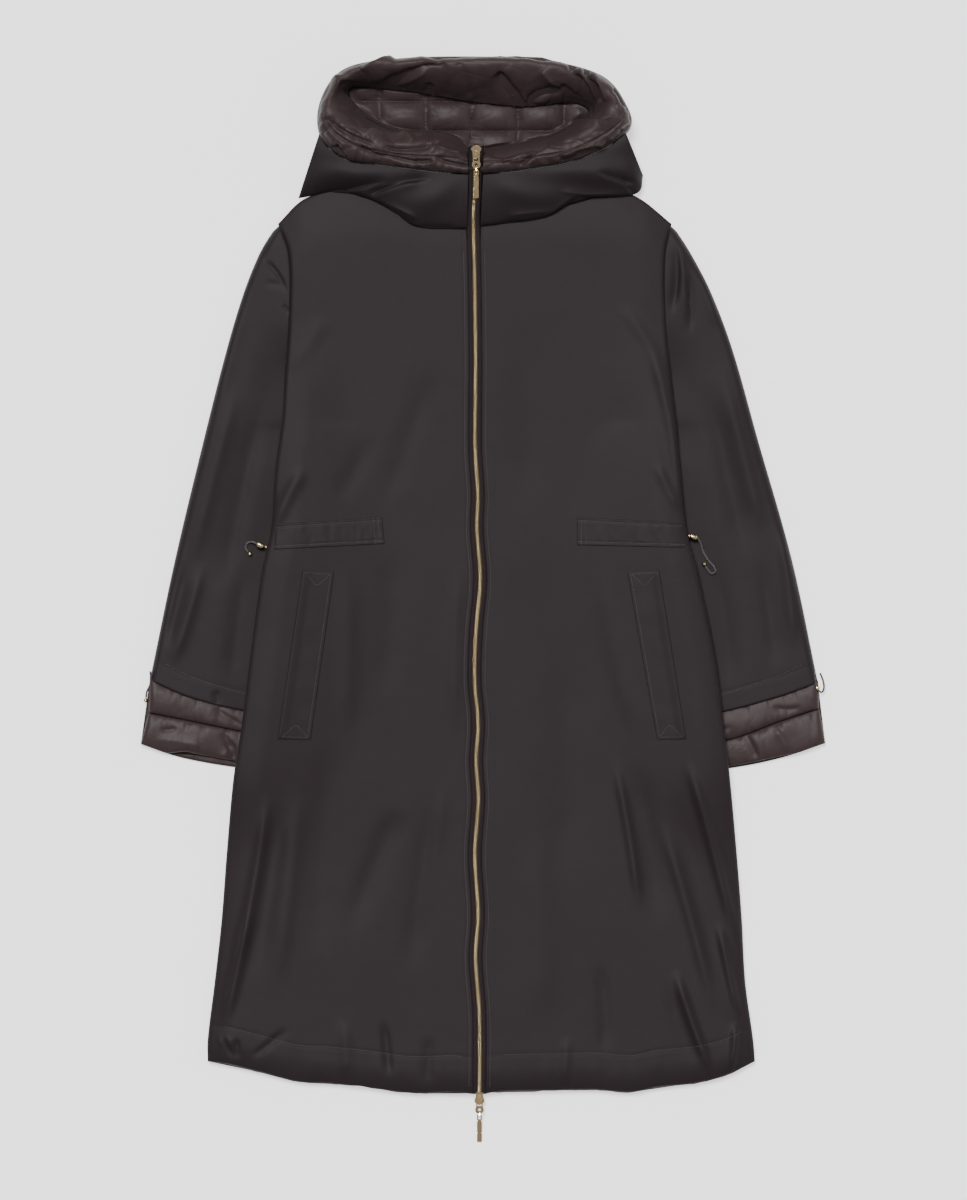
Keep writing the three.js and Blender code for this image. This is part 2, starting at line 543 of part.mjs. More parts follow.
// Hood: sections round its facing, read from the ring's table
const ringAt = Object.fromEntries(Object.keys(RING[0]).map((name) => {
  const rows = RING.map((row, i) => ({ t: i / (RING.length - 1), [name]: row[name] }));
  return [name, column(rows, 't', name)];
}));
const ringSteps = steps(RING_SECTIONS);
const FACING_T = [0, 0.18, 0.4, 0.62, 0.84, 1];
const INNER_HIGH = 20;        // top of the facing at its inner seam, level with the lining
const FACING_WALL = 11;

// A point over the facing: t runs from the inner seam over the crest to the outer seam
function facingPoint(s, t) {
  const r = ringAt;
  const [ix, iy, cx, cy] = [r.ix(s), r.iy(s), r.cx(s), r.cy(s)];
  const [ox, oy] = [r.ox(s), r.oy(s)];
  const w = [(1 - t) ** 2, 2 * t * (1 - t), t * t];
  const x = w[0] * ix + w[1] * (2 * cx - (ix + ox) / 2) + w[2] * ox;
  const y = w[0] * iy + w[1] * (2 * cy - (iy + oy) / 2) + w[2] * oy;
  const base = INNER_HIGH + (r.outer(s) - INNER_HIGH) * t;
  const z = base + (r.crest(s) - (INNER_HIGH + r.outer(s)) / 2) * Math.sin(Math.PI * t) ** 0.8;
  return [x, y, z];
}
const facingThick = (t) => 3 + 2 * t + (FACING_WALL - 4) * Math.sin(Math.PI * t);
const facingUpper = FACING_T.map((t) => ringSteps.map((s) => facingPoint(s, t)));
const facingLower = facingUpper.map((row, j) => row.map(([x, y, z]) => [x, y, z - facingThick(FACING_T[j])]));
addMesh('hood_facing', SHINY, wall(facingUpper, facingLower));

// The bowl: points on its way from the middle to the facing's inner seam
const BOWL_RIM = 0.985;
const RIM_WALL = 8;           // lining where it meets the facing
const LINING_T = [0.2, 0.42, 0.62, 0.8, BOWL_RIM];
function bowlRow(t, height) {
  return ringSteps.map((s) => {
    const x = BOWL.x + t * (ringAt.ix(s) - BOWL.x);
    const y = BOWL.y + t * (ringAt.iy(s) - BOWL.y);
    return [x, y, height(x, y)];
  });
}

// A closed dish: rows of points round the bowl, above and below, closed over its middle
function dish(upper, lower) {
  const cols = upper[0].length;
  const middle = (skin) => [BOWL.x, BOWL.y, skin[0].reduce((sum, p) => sum + p[2], 0) / cols];
  const points = [...upper.flat(), ...lower.flat(), middle(upper), middle(lower)];
  const up = (j, i) => j * cols + (i % cols);
  const down = (j, i) => (upper.length + j) * cols + (i % cols);
  const topMiddle = points.length - 2;
  const lowMiddle = points.length - 1;
  const [rimUp, rimDown] = [upper.length - 1, lower.length - 1];
  const faces = [];
  for (let i = 0; i < cols; i += 1) {
    faces.push([topMiddle, up(0, i), up(0, i + 1)], [lowMiddle, down(0, i + 1), down(0, i)]);
    for (let j = 0; j < rimUp; j += 1) {
      faces.push([up(j, i), up(j + 1, i), up(j + 1, i + 1)], [up(j, i), up(j + 1, i + 1), up(j, i + 1)]);
    }
    for (let j = 0; j < rimDown; j += 1) {
      faces.push([down(j, i), down(j + 1, i + 1), down(j + 1, i)]);
      faces.push([down(j, i), down(j, i + 1), down(j + 1, i + 1)]);
    }
    faces.push([up(rimUp, i), down(rimDown, i), up(rimUp, i + 1)]);
    faces.push([up(rimUp, i + 1), down(rimDown, i), down(rimDown, i + 1)]);
  }
  return closedGeometry(points, faces);
}

// The lining's quilted squares rise between seams that run across and along the bowl
const QUILT = { across: 53, along: 34, middleX: -13, middleY: 540, low: 4, high: 7 };
function quilt(x, y) {
  const a = Math.abs(Math.sin(Math.PI * (x - QUILT.middleX) / QUILT.across));
  const b = Math.abs(Math.sin(Math.PI * (y - QUILT.middleY) / QUILT.along));
  return BOWL_FLOOR + SEAM + QUILT.low + QUILT.high * Math.sqrt(a * b);
}
const liningUpper = LINING_T.map((t) => (
  bowlRow(t, t === BOWL_RIM ? () => BOWL_FLOOR + RIM_WALL : quilt)));
addMesh('hood_lining', SHINY, dish(liningUpper, [bowlRow(BOWL_RIM, () => BOWL_FLOOR + SEAM)]));

// The hood's outer back and its hidden layers: one rounded solid that the lining and facing lie on
const UNDER_GAP = 0.5;
const HOOD_FOOT = { inset: 0.97, high: 5 };
const hoodUpper = [
  bowlRow(BOWL_RIM, () => BOWL_FLOOR),
  ...facingLower.map((row) => row.map(([x, y, z]) => [x, y, z - UNDER_GAP])),
];
const hoodSide = facingLower[facingLower.length - 1].map(([x, y]) => [x, y, HOOD_FOOT.high]);
const hoodFoot = hoodSide.map(([x, y]) => [
  BOWL.x + HOOD_FOOT.inset * (x - BOWL.x), BOWL.y + HOOD_FOOT.inset * (y - BOWL.y), 0]);
addMesh('hood_back', MATTE, dish(hoodUpper, [hoodFoot, hoodSide]));

// The cowl: a wall of cloth from its seam under the facing down to a folded edge on each front
const COWL_V = [0, 0.2, 0.42, 0.64, 0.84, 1];
const COWL_GAP = 1;           // from the facing's outer seam, in plan
const COWL_TUCK = 1;          // how far the seam lies below the facing's edge
const COWL_SWELL = { high: 5, wave: 3, waves: 2 };
const COWL_EDGE = { clear: 2, turn: 2.5, thin: 1.5 };
for (const side of ['left', 'right']) {
  const { from, to } = COWL_SECTIONS[side];
  const count = Math.abs(to - from);
  const fold = line(COWL_FOLD, side);
  const columns = steps(count).map((u) => {
    const k = Math.round(from + (to - from) * u);
    const [x, y, z] = facingUpper[facingUpper.length - 1][k];
    const away = Math.hypot(x - BOWL.x, y - BOWL.y);
    const grow = 1 + COWL_GAP / away;
    const seam = [BOWL.x + grow * (x - BOWL.x), BOWL.y + grow * (y - BOWL.y), z - COWL_TUCK];
    const edge = fold(u);
    const foot = heightOn(skins[side].frontUpper, ...edge) + COWL_WALL + COWL_EDGE.clear;
    return { u, seam, edge, foot };
  });
  const upper = COWL_V.map((v) => columns.map(({ u, seam, edge, foot }) => {
    const x = seam[0] + v * (edge[0] - seam[0]);
    const y = seam[1] + v * (edge[1] - seam[1]);
    const calm = 1 - ease(u, 0.75, 1);
    const wave = COWL_SWELL.wave * Math.cos(2 * Math.PI * (COWL_SWELL.waves * u + v));
    const swell = (COWL_SWELL.high + wave) * Math.sin(Math.PI * v) * calm;
    return [x, y, seam[2] + (foot - seam[2]) * v + swell - (v === 1 ? COWL_EDGE.turn : 0)];
  }));
  const atEdge = (j) => j === 0 || j === COWL_V.length - 1;
  const lower = upper.map((row, j) => row.map(([x, y, z]) => (
    [x, y, z - COWL_WALL + (atEdge(j) ? COWL_EDGE.thin : 0)])));
  addMesh(`cowl_${side}`, MATTE, wall(upper, lower));
}

// Zip: its height along the coat, then two tapes and the closed chain between the fronts
const zipZ = column(ZIP_HIGH, 'y', 'z');
const zipRows = [521, 514, 506, 498, 489, 482, ...bodyV.map((v) => (
  NECK_EDGE_Y + (HEM_EDGE_Y - NECK_EDGE_Y) * v))];
function strip(rows, from, to, half) {
  const skin = (dz) => rows.map((y) => [[zipX(y) + from, y, zipZ(y) + dz], [zipX(y) + to, y, zipZ(y) + dz]]);
  return wall(skin(half), skin(-half));
}
addMesh('zip_tape_left', TAPE, strip(zipRows, -TAPE_OUT, -TAPE_IN, 0.5));
addMesh('zip_tape_right', TAPE, strip(zipRows, TAPE_IN, TAPE_OUT, 0.5));
const chainRows = [511, ...zipRows.filter((y) => y < 509)];
addMesh('zip_chain', GOLD, strip(chainRows, -CHAIN_HALF, CHAIN_HALF, CHAIN_HIGH));

// Solids made of several shapes: a geometry becomes a solid, and a solid becomes a geometry
function solid(geometry) {
  const plain = geometry.clone();
  plain.deleteAttribute('normal');
  plain.deleteAttribute('uv');
  const merged = mergeVertices(plain, 1e-4);
  return new wasm.Manifold(new wasm.Mesh({
    numProp: 3,
    vertProperties: Float32Array.from(merged.attributes.position.array),
    triVerts: Uint32Array.from(merged.index.array),
  }));
}
function shapeOf(body) {
  const mesh = body.getMesh();
  const geometry = new THREE.BufferGeometry();
  geometry.setAttribute('position', new THREE.BufferAttribute(mesh.vertProperties, 3));
  geometry.setIndex(new THREE.BufferAttribute(mesh.triVerts, 1));
  return geometry;
}
function boxAt(x0, x1, y0, y1, z0, z1) {
  const box = new THREE.BoxGeometry(x1 - x0, y1 - y0, z1 - z0);
  return solid(box.translate((x0 + x1) / 2, (y0 + y1) / 2, (z0 + z1) / 2));
}
function plate(outline, holes, thick) {
  const shape = new THREE.Shape(outline.map(([x, y]) => new THREE.Vector2(x, y)));
  shape.holes = holes;
  return solid(new THREE.ExtrudeGeometry(shape, { depth: thick, bevelEnabled: false, curveSegments: 6 })
    .translate(0, 0, -thick / 2));
}
// An outline that is the same on both sides of the y axis, from rows of half width and place
const mirrored = (rows) => [...rows, ...[...rows].reverse().map(([x, y]) => [-x, y])];
function roundHole(x, y, r) {
  const hole = new THREE.Path();
  hole.absarc(x, y, r, 0, 2 * Math.PI, false);
  return hole;
}
function squareHole(x, y0, y1) {
  return new THREE.Path([[-x, y0], [x, y0], [x, y1], [-x, y1]].map(([a, b]) => new THREE.Vector2(a, b)));
}

// Slider: two plates round the chain with a bridge on top, lying in its own frame with the chain
// along y; the nose, where the plates join, is at the end that it closes towards
function sliderShape(nose) {
  const outline = mirrored([[1.6, 8.4], [3.4, 7.4], [5.7, 5.2], [5.9, 3.2], [4.4, 0.8], [4.1, -5.6],
    [3.2, -6.8]]);
  const turned = nose > 0 ? outline : outline.map(([x, y]) => [-x, -y]);
  const plates = plate(turned, [], 2 * SLIDER.half);
  const [from, to] = nose > 0 ? [-SLIDER.reach, SLIDER.wedge] : [-SLIDER.wedge, SLIDER.reach];
  const wide = CHAIN_HALF + SLIDER.room;
  const high = CHAIN_HIGH + SLIDER.room / 2;
  const channel = boxAt(-wide, wide, from, to, -high, high);
  const slots = [[-SLIDER.reach, -SLIDER.web], [SLIDER.web, SLIDER.reach]].map(([x0, x1]) => (
    boxAt(x0, x1, -SLIDER.reach, SLIDER.reach, -SLIDER.slot, SLIDER.slot)));
  const body = plates.subtract(channel).subtract(slots[0]).subtract(slots[1]);
  const { hingeY, hingeZ, half, bridge } = SLIDER;
  const arch = boxAt(-1, 1, hingeY - bridge.long, hingeY + bridge.long, half - 0.5, hingeZ + bridge.high);
  const inside = [bridge.long - bridge.wall, bridge.high - 1];
  const under = boxAt(-2, 2, hingeY - inside[0], hingeY + inside[0], half, hingeZ + inside[1]);
  return shapeOf(body.add(arch.subtract(under)));
}

// Pull link: a flat link that turns on the slider's bridge, with an upright eye at its far end
function linkShape() {
  const outline = mirrored([[2.6, 0.7], [3.9, -0.7], [3.9, -7.4], [4.9, -9.4], [4.9, -12.6], [3, -15.2]]);
  const flat = plate(outline, [squareHole(2.3, -6.6, -0.7), roundHole(0, -11, 1.7)], PULL_THICK);
  const eyeOutline = new THREE.Shape();
  eyeOutline.absarc(0, 0, EYE.outer, -Math.PI / 2, Math.PI / 2, false);
  eyeOutline.lineTo(-EYE.neck, PULL_THICK / 2);
  eyeOutline.lineTo(-EYE.neck, -PULL_THICK / 2);
  eyeOutline.holes = [roundHole(0, 0, EYE.inner)];
  const eye = new THREE.ExtrudeGeometry(eyeOutline, {
    depth: EYE.wide, bevelEnabled: false, curveSegments: 8 });
  eye.translate(0, 0, -EYE.wide / 2).applyMatrix4(new THREE.Matrix4().makeBasis(
    new THREE.Vector3(0, -1, 0), new THREE.Vector3(0, 0, 1), new THREE.Vector3(-1, 0, 0)));
  eye.translate(0, -LINK_LONG, 0);
  return shapeOf(flat.add(solid(eye)));
}

// Pull bar: a flat loop through the link's eye, then a notched bar
function barShape() {
  const outline = mirrored([[2.2, 0.55], [2.9, -0.4], [2.9, -5.4], [2, -6.4], [2, -7.2], [2.9, -8],
    [2.9, -20.4], [2.3, -21], [2.3, -22], [2.9, -22.6], [2.9, -BAR_LONG + 0.8], [2.2, -BAR_LONG]]);
  return shapeOf(plate(outline, [squareHole(1.3, -5, -0.55)], PULL_THICK));
}

for (const [name, end] of Object.entries(ZIP_ENDS)) {
  const frame = new THREE.Group();
  frame.position.set(zipX(end.y), end.y, zipZ(end.y));
  frame.rotation.x = end.pitch;
  garment.add(frame);
  addMesh(`slider_${name}`, GOLD, sliderShape(end.nose), frame);
  addMesh(`pull_link_${name}`, GOLD, linkShape(), frame).position.set(0, SLIDER.hingeY, SLIDER.hingeZ);
  const bar = addMesh(`pull_bar_${name}`, GOLD, barShape(), frame);
  bar.position.set(0, SLIDER.hingeY - LINK_LONG, SLIDER.hingeZ);
}

// Pieces that lie on the fronts: made from the front's own height at each of their points
const LAID = { gap: 0.8, casing: 0.9, welt: 1.3 };
function laidOn(side, corners, cols, rows, thick) {
  const [a, b, c, d] = corners;
  const at = (u, v) => [0, 1].map((k) => (
    (1 - u) * (1 - v) * a[k] + u * (1 - v) * b[k] + u * v * c[k] + (1 - u) * v * d[k]));
  const skin = (up) => steps(rows).map((v) => steps(cols).map((u) => {
    const [x, y] = at(u, v);
    return [x, y, heightOn(skins[side].frontUpper, x, y) + LAID.gap + up];
  }));
  return wall(skin(thick), skin(0));
}
for (const side of ['left', 'right']) {
  addMesh(`waist_casing_${side}`, MATTE, laidOn(side, CASING[side], 10, 2, LAID.casing));
  addMesh(`pocket_welt_${side}`, MATTE, laidOn(side, WELT[side], 1, 8, LAID.welt));
}

// A round piece turned about a line: rows of radius and place along the line
function turnedPiece(name, finish, rows, place, direction) {
  const profile = rows.map(([r, h]) => new THREE.Vector2(r, h));
  const mesh = addMesh(name, finish, new THREE.LatheGeometry(profile, 12));
  mesh.position.set(...place);
  mesh.quaternion.setFromUnitVectors(new THREE.Vector3(0, 1, 0), new THREE.Vector3(...direction).normalize());
}

// Cords: a tube along each route
function cordTube(name, route) {
  const path = new THREE.CatmullRomCurve3(route.map((p) => new THREE.Vector3(...p)), false, 'centripetal');
  const section = new THREE.Shape();
  steps(8).slice(0, 8).forEach((t) => {
    const [x, y] = [Math.cos(2 * Math.PI * t), Math.sin(2 * Math.PI * t)].map((v) => v * CORD_D / 2);
    if (t === 0) section.moveTo(x, y);
    else section.lineTo(x, y);
  });
  const stepCount = Math.round(path.getLength() / (2 * CORD_D));
  addMesh(name, CORD, new THREE.ExtrudeGeometry(section, {
    steps: stepCount, bevelEnabled: false, extrudePath: path }));
}
for (const [name, cord] of Object.entries(CORDS)) {
  cordTube(`cord_${name}`, cord.route);
  for (const [piece, place, direction] of cord.pieces) {
    turnedPiece(`${piece}_${name}`, GOLD, PROFILES[piece], place, direction);
  }
}

export default garment;
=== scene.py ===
import bmesh
import bpy
import numpy as np
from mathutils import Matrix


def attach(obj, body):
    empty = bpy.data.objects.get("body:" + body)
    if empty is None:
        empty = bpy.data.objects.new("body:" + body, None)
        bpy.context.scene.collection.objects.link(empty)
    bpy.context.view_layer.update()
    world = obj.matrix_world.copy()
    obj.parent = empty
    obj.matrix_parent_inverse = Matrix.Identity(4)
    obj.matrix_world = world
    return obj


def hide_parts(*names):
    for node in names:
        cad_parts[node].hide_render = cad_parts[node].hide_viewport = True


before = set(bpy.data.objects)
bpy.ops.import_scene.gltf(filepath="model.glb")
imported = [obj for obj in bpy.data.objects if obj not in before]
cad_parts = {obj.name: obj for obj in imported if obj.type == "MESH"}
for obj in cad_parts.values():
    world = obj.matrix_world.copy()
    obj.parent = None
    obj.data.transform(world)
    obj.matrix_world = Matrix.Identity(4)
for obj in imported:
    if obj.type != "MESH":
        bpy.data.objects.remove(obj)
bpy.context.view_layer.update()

# Camera: straight above the coat, as the photograph was taken. A pixel of the photograph's
# 967 by 1200 frame is 1.15 mm on the coat.
mm = 0.001
pixel = 1.15 * mm
eye_height = 10.0
eye_plane = 0.02
camera_data = bpy.data.cameras.new("camera")
camera_data.sensor_fit = "VERTICAL"
camera_data.sensor_height = 36.0
camera_data.lens = 36.0 * (eye_height - eye_plane) / (1200 * pixel)
camera = bpy.data.objects.new("camera", camera_data)
camera.location = (0.5 * pixel, 0.0, eye_height)
bpy.context.scene.collection.objects.link(camera)
bpy.context.scene.camera = camera


# Drawcords: round braided cord, dark brown, 2.2 mm thick. Two come out of eyelets at the ends of
# the waist casings and two out of the sleeve hems. They carry gold stoppers, a collar and beads.
def joined_nodes(tree, kind, inputs=None, **settings):
    """A node in a tree with its settings, and its inputs set to values or joined to sockets."""
    made = tree.nodes.new(kind)
    for name, value in settings.items():
        setattr(made, name, value)
    for name, value in (inputs or {}).items():
        if isinstance(value, bpy.types.NodeSocket):
            tree.links.new(value, made.inputs[name])
        else:
            made.inputs[name].default_value = value
    return made


def node_group(name, inputs, outputs):
    """An empty shader group with named inputs (with their values) and outputs."""
    group = bpy.data.node_groups.new(name, "ShaderNodeTree")
    for title, (kind, value) in inputs.items():
        socket = group.interface.new_socket(title, in_out="INPUT", socket_type=kind)
        if value is not None:
            socket.default_value = value
    for title, kind in outputs.items():
        group.interface.new_socket(title, in_out="OUTPUT", socket_type=kind)
    return group, group.nodes.new("NodeGroupInput").outputs, group.nodes.new("NodeGroupOutput").inputs


def maths(tree, operation, first, second=0.0):
    """The output of a Math node of two values or sockets."""
    return joined_nodes(tree, "ShaderNodeMath", {0: first, 1: second}, operation=operation).outputs[0]


def two_tone(tree, dark, light, amount):
    """A colour between two, by a socket from 0 to 1."""
    inputs = {0: amount, 6: (*dark, 1.0), 7: (*light, 1.0)}
    return joined_nodes(tree, "ShaderNodeMix", inputs, data_type="RGBA").outputs[2]


def paint(tree, shader, dark, light, amount):
    """Joins a colour between two, by a socket from 0 to 1, to the shader's base colour."""
    tree.links.new(two_tone(tree, dark, light, amount), shader.inputs["Base Color"])


def noise(tree, place, size, detail, distortion=0.0):
    """The output of a Noise texture with a size at a place."""
    inputs = {"Vector": place, "Scale": size, "Detail": detail, "Distortion": distortion}
    return joined_nodes(tree, "ShaderNodeTexNoise", inputs).outputs[0]


def waves(tree, place, size, distortion=0.0, direction="X"):
    """The height of a Wave texture, whose bands follow one another along a direction."""
    inputs = {"Vector": place, "Scale": size, "Distortion": distortion}
    return joined_nodes(tree, "ShaderNodeTexWave", inputs, bands_direction=direction).outputs[1]


def clouds_group():
    """Soft uneven patches from 0 to 1: two sizes of noise, the large one twice as strong."""
    group, given, out = node_group(
        "soft_patches",
        {"Vector": ("NodeSocketVector", None), "Size": ("NodeSocketFloat", 12.0)},
        {"Amount": "NodeSocketFloat"},
    )
    large = noise(group, given["Vector"], given["Size"], 2.0)
    small = noise(group, given["Vector"], maths(group, "MULTIPLY", given["Size"], 9.0), 3.0)
    both = maths(group, "ADD", maths(group, "MULTIPLY", large, 2.0), small)
    group.links.new(maths(group, "DIVIDE", both, 3.0), out["Amount"])
    return group


patches = clouds_group()


def use_group(tree, group, **inputs):
    """The outputs of a group placed in a tree, with its inputs set or joined by name."""
    return joined_nodes(tree, "ShaderNodeGroup", inputs, node_tree=group).outputs


def start_material(name, roughness, **constants):
    """A new material's tree, its shader with the constants set, and its object coordinates."""
    material = bpy.data.materials.new(name)
    material.use_nodes = True
    tree = material.node_tree
    shader = tree.nodes["Principled BSDF"]
    shader.inputs["Roughness"].default_value = roughness
    for title, value in constants.items():
        shader.inputs[title.replace("_", " ")].default_value = value
    place = joined_nodes(tree, "ShaderNodeTexCoord").outputs["Object"]
    return material, tree, shader, place


def add_bump(tree, shader, height, distance, strength=1.0):
    """Joins a height socket to the shader's normal through one bump node."""
    inputs = {"Height": height, "Distance": distance, "Strength": strength}
    tree.links.new(joined_nodes(tree, "ShaderNodeBump", inputs).outputs[0], shader.inputs["Normal"])


def cord_material():
    """Braided cord: two sets of strands that cross along the cord's own UV map, painted darker in the grooves
    between them as painted shade.
    """
    material, tree, shader, _ = start_material("cord_braid", 0.6, Sheen_Weight=0.25)
    on_cord = joined_nodes(tree, "ShaderNodeUVMap", uv_map="UVMap").outputs[0]
    slant = 0.785
    strands = []
    for turn in (slant, -slant):
        slanted = joined_nodes(tree, "ShaderNodeMapping", {"Vector": on_cord, "Rotation": (0.0, 0.0, turn)})
        strands.append(waves(tree, slanted.outputs[0], 1.6))
    crossed = maths(tree, "MAXIMUM", *strands)
    # painted shade: the colour follows the strands' height, darker in the grooves and lighter on the crests
    paint(tree, shader, (0.012, 0.008, 0.009), (0.05, 0.036, 0.037), crossed)
    add_bump(tree, shader, crossed, 0.0003)
    return material


def gold_material():
    """Polished pale gold with small scratches and a slightly uneven shine."""
    material, tree, shader, place = start_material("pale_gold", 0.2, Metallic=1.0)
    uneven_shine = use_group(tree, patches, Vector=place, Size=160.0)["Amount"]
    paint(tree, shader, (0.4, 0.285, 0.14), (0.78, 0.63, 0.38), uneven_shine)
    tree.links.new(maths(tree, "MULTIPLY", uneven_shine, 0.32), shader.inputs["Roughness"])
    add_bump(tree, shader, noise(tree, place, 2600.0, 2.0), 0.00004)
    return material


braid = cord_material()
gold = gold_material()


def make_piece(name, points, faces, material, stands_for=(), uv=None):
    """A smooth mesh from points in millimetres and faces. It rides on the coat itself, the root
    body, takes its finish from a slot, and stands for the CAD nodes that it replaces. uv gives each
    point its place on the piece's own map."""
    mesh = bpy.data.meshes.new(name)
    mesh.from_pydata((np.asarray(points).reshape(-1, 3) * mm).tolist(), [], [list(face) for face in faces])
    mesh.materials.append(material)
    mesh.polygons.foreach_set("use_smooth", np.ones(len(mesh.polygons), bool))
    if uv is not None:
        corners = np.zeros(len(mesh.loops), np.int32)
        mesh.loops.foreach_get("vertex_index", corners)
        layer = mesh.uv_layers.new(name="UVMap")
        layer.data.foreach_set("uv", np.asarray(uv, np.float32).reshape(-1, 2)[corners].ravel())
    mesh.update()
    piece = bpy.data.objects.new(name, mesh)
    bpy.context.scene.collection.objects.link(piece)
    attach(piece, "root")
    if stands_for:
        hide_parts(*stands_for)
    return piece


def grid_faces(rows, cols, wrap=False):
    """Four-sided faces of a grid of points, row by row. With wrap the last column meets the first."""
    index = np.arange(rows * cols).reshape(rows, cols)
    after = np.roll(index, -1, axis=1) if wrap else index[:, 1:]
    first = index if wrap else index[:, :-1]
    return np.stack([first[:-1], after[:-1], after[1:], first[1:]], -1).reshape(-1, 4)


def unit(vectors):
    """Vectors of length 1."""
    return vectors / np.maximum(np.linalg.norm(vectors, axis=-1, keepdims=True), 1e-9)


def smooth_path(route, step, between=24):
    """A line through the points of a route, with even steps: a centripetal cubic through each four
    neighbours, whose parameter grows by the square root of the distance between two points."""
    points = np.asarray(route, float)
    points = np.vstack([2 * points[0] - points[1], points, 2 * points[-1] - points[-2]])
    stretches = []
    for p0, p1, p2, p3 in zip(points[:-3], points[1:-2], points[2:-1], points[3:]):
        t0 = 0.0
        t1 = t0 + np.linalg.norm(p1 - p0) ** 0.5
        t2 = t1 + np.linalg.norm(p2 - p1) ** 0.5
        t3 = t2 + np.linalg.norm(p3 - p2) ** 0.5
        t = np.linspace(t1, t2, between, endpoint=False)[:, None]
        a = (t1 - t) / (t1 - t0) * p0 + (t - t0) / (t1 - t0) * p1
        b = (t2 - t) / (t2 - t1) * p1 + (t - t1) / (t2 - t1) * p2
        c = (t3 - t) / (t3 - t2) * p2 + (t - t2) / (t3 - t2) * p3
        d = (t2 - t) / (t2 - t0) * a + (t - t0) / (t2 - t0) * b
        e = (t3 - t) / (t3 - t1) * b + (t - t1) / (t3 - t1) * c
        stretches.append((t2 - t) / (t2 - t1) * d + (t - t1) / (t2 - t1) * e)
    return even_line(np.vstack([*stretches, points[-2]]), step)


def even_line(fine, step):
    """The same line with points at even distances along it."""
    along = np.concatenate([[0.0], np.cumsum(np.linalg.norm(np.diff(fine, axis=0), axis=1))])
    count = max(int(round(along[-1] / step)), 2)
    at = np.linspace(0.0, along[-1], count + 1)
    return np.stack([np.interp(at, along, fine[:, k]) for k in range(fine.shape[1])], -1)


def tube(path, radius, sides, strands_round=6):
    """Rings of points round a path, closed at both ends by a middle point: each ring lies across
    the path's direction, with one axis level. The map has whole strands round the tube, and runs
    along it by its radius."""
    ahead = unit(np.gradient(path, axis=0))
    level = unit(np.cross(ahead, (0.0, 0.0, 1.0)))
    up = np.cross(level, ahead)
    turn = np.linspace(0.0, 2 * np.pi, sides, endpoint=False)
    spokes = np.cos(turn)[:, None] * level[:, None] + np.sin(turn)[:, None] * up[:, None]
    rings = path[:, None] + radius * spokes
    count = len(path)
    points = np.vstack([rings.reshape(-1, 3), path[:1], path[-1:]])
    start, end = count * sides, count * sides + 1
    ring = np.arange(sides)
    after = np.roll(ring, -1)
    last = (count - 1) * sides
    faces = grid_faces(count, sides, wrap=True)[:, ::-1].tolist()
    faces += np.stack([ring, after, np.full(sides, start)], -1)[:, ::-1].tolist()
    faces += np.stack([last + after, last + ring, np.full(sides, end)], -1)[:, ::-1].tolist()
    along = np.concatenate([[0.0], np.cumsum(np.linalg.norm(np.diff(path, axis=0), axis=1))])
    around = turn[None] / (2 * np.pi) * strands_round
    uv = np.stack(np.broadcast_arrays(around, along[:, None] / radius), -1).reshape(-1, 2)
    return points, faces, np.vstack([uv, uv[:1], uv[-1:]])


def turned(profile, place, direction, sides=28):
    """A solid turned round a line: rows of radius and place along the line, carried round it."""
    axis = unit(np.asarray(direction, float))
    across = unit(np.cross(axis, (0.3, 0.2, 1.0)))
    third = np.cross(axis, across)
    turn = np.linspace(0.0, 2 * np.pi, sides, endpoint=False)[None, :, None]
    rows = np.asarray(profile, float)
    spokes = np.cos(turn) * across + np.sin(turn) * third
    return np.asarray(place) + rows[:, 1, None, None] * axis + rows[:, 0, None, None] * spokes


def rounded_rows(rows, share=0.3, steps=5):
    """A profile with its corners eased: each becomes a short quadratic curve, which starts and ends
    at a share of the way to the corners beside it."""
    rows = np.asarray(rows, float)
    made = []
    for before, corner, after in zip(np.roll(rows, 1, 0), rows, np.roll(rows, -1, 0)):
        first = corner + (before - corner) * share
        last = corner + (after - corner) * share
        t = np.linspace(0.0, 1.0, steps)[:, None]
        made.append((1 - t) ** 2 * first + 2 * t * (1 - t) * corner + t**2 * last)
    return np.vstack(made)


def turned_piece(name, rows, place, direction, node):
    """A turned metal piece with eased corners, from the rows of its closed profile."""
    points = turned(rounded_rows(rows), place, direction)
    count, sides = points.shape[:2]
    faces = grid_faces(count, sides, wrap=True).tolist()
    last = (count - 1) * sides
    ring = np.arange(sides)
    faces += np.stack([last + ring, last + np.roll(ring, -1), np.roll(ring, -1), ring], -1).tolist()
    piece = make_piece(name, points, faces, gold, stands_for=[node])
    face_out(piece)
    return piece


def face_out(piece):
    """Turns a closed mesh so that its faces point out, by the sign of its volume."""
    mesh = piece.data
    mesh.calc_loop_triangles()
    corners = np.zeros(len(mesh.loop_triangles) * 3, np.int32)
    mesh.loop_triangles.foreach_get("vertices", corners)
    points = np.zeros(len(mesh.vertices) * 3, np.float32)
    mesh.vertices.foreach_get("co", points)
    a, b, c = points.reshape(-1, 3).astype(float)[corners].reshape(-1, 3, 3).transpose(1, 0, 2)
    if (a * np.cross(b, c)).sum() < 0:
        mesh.flip_normals()


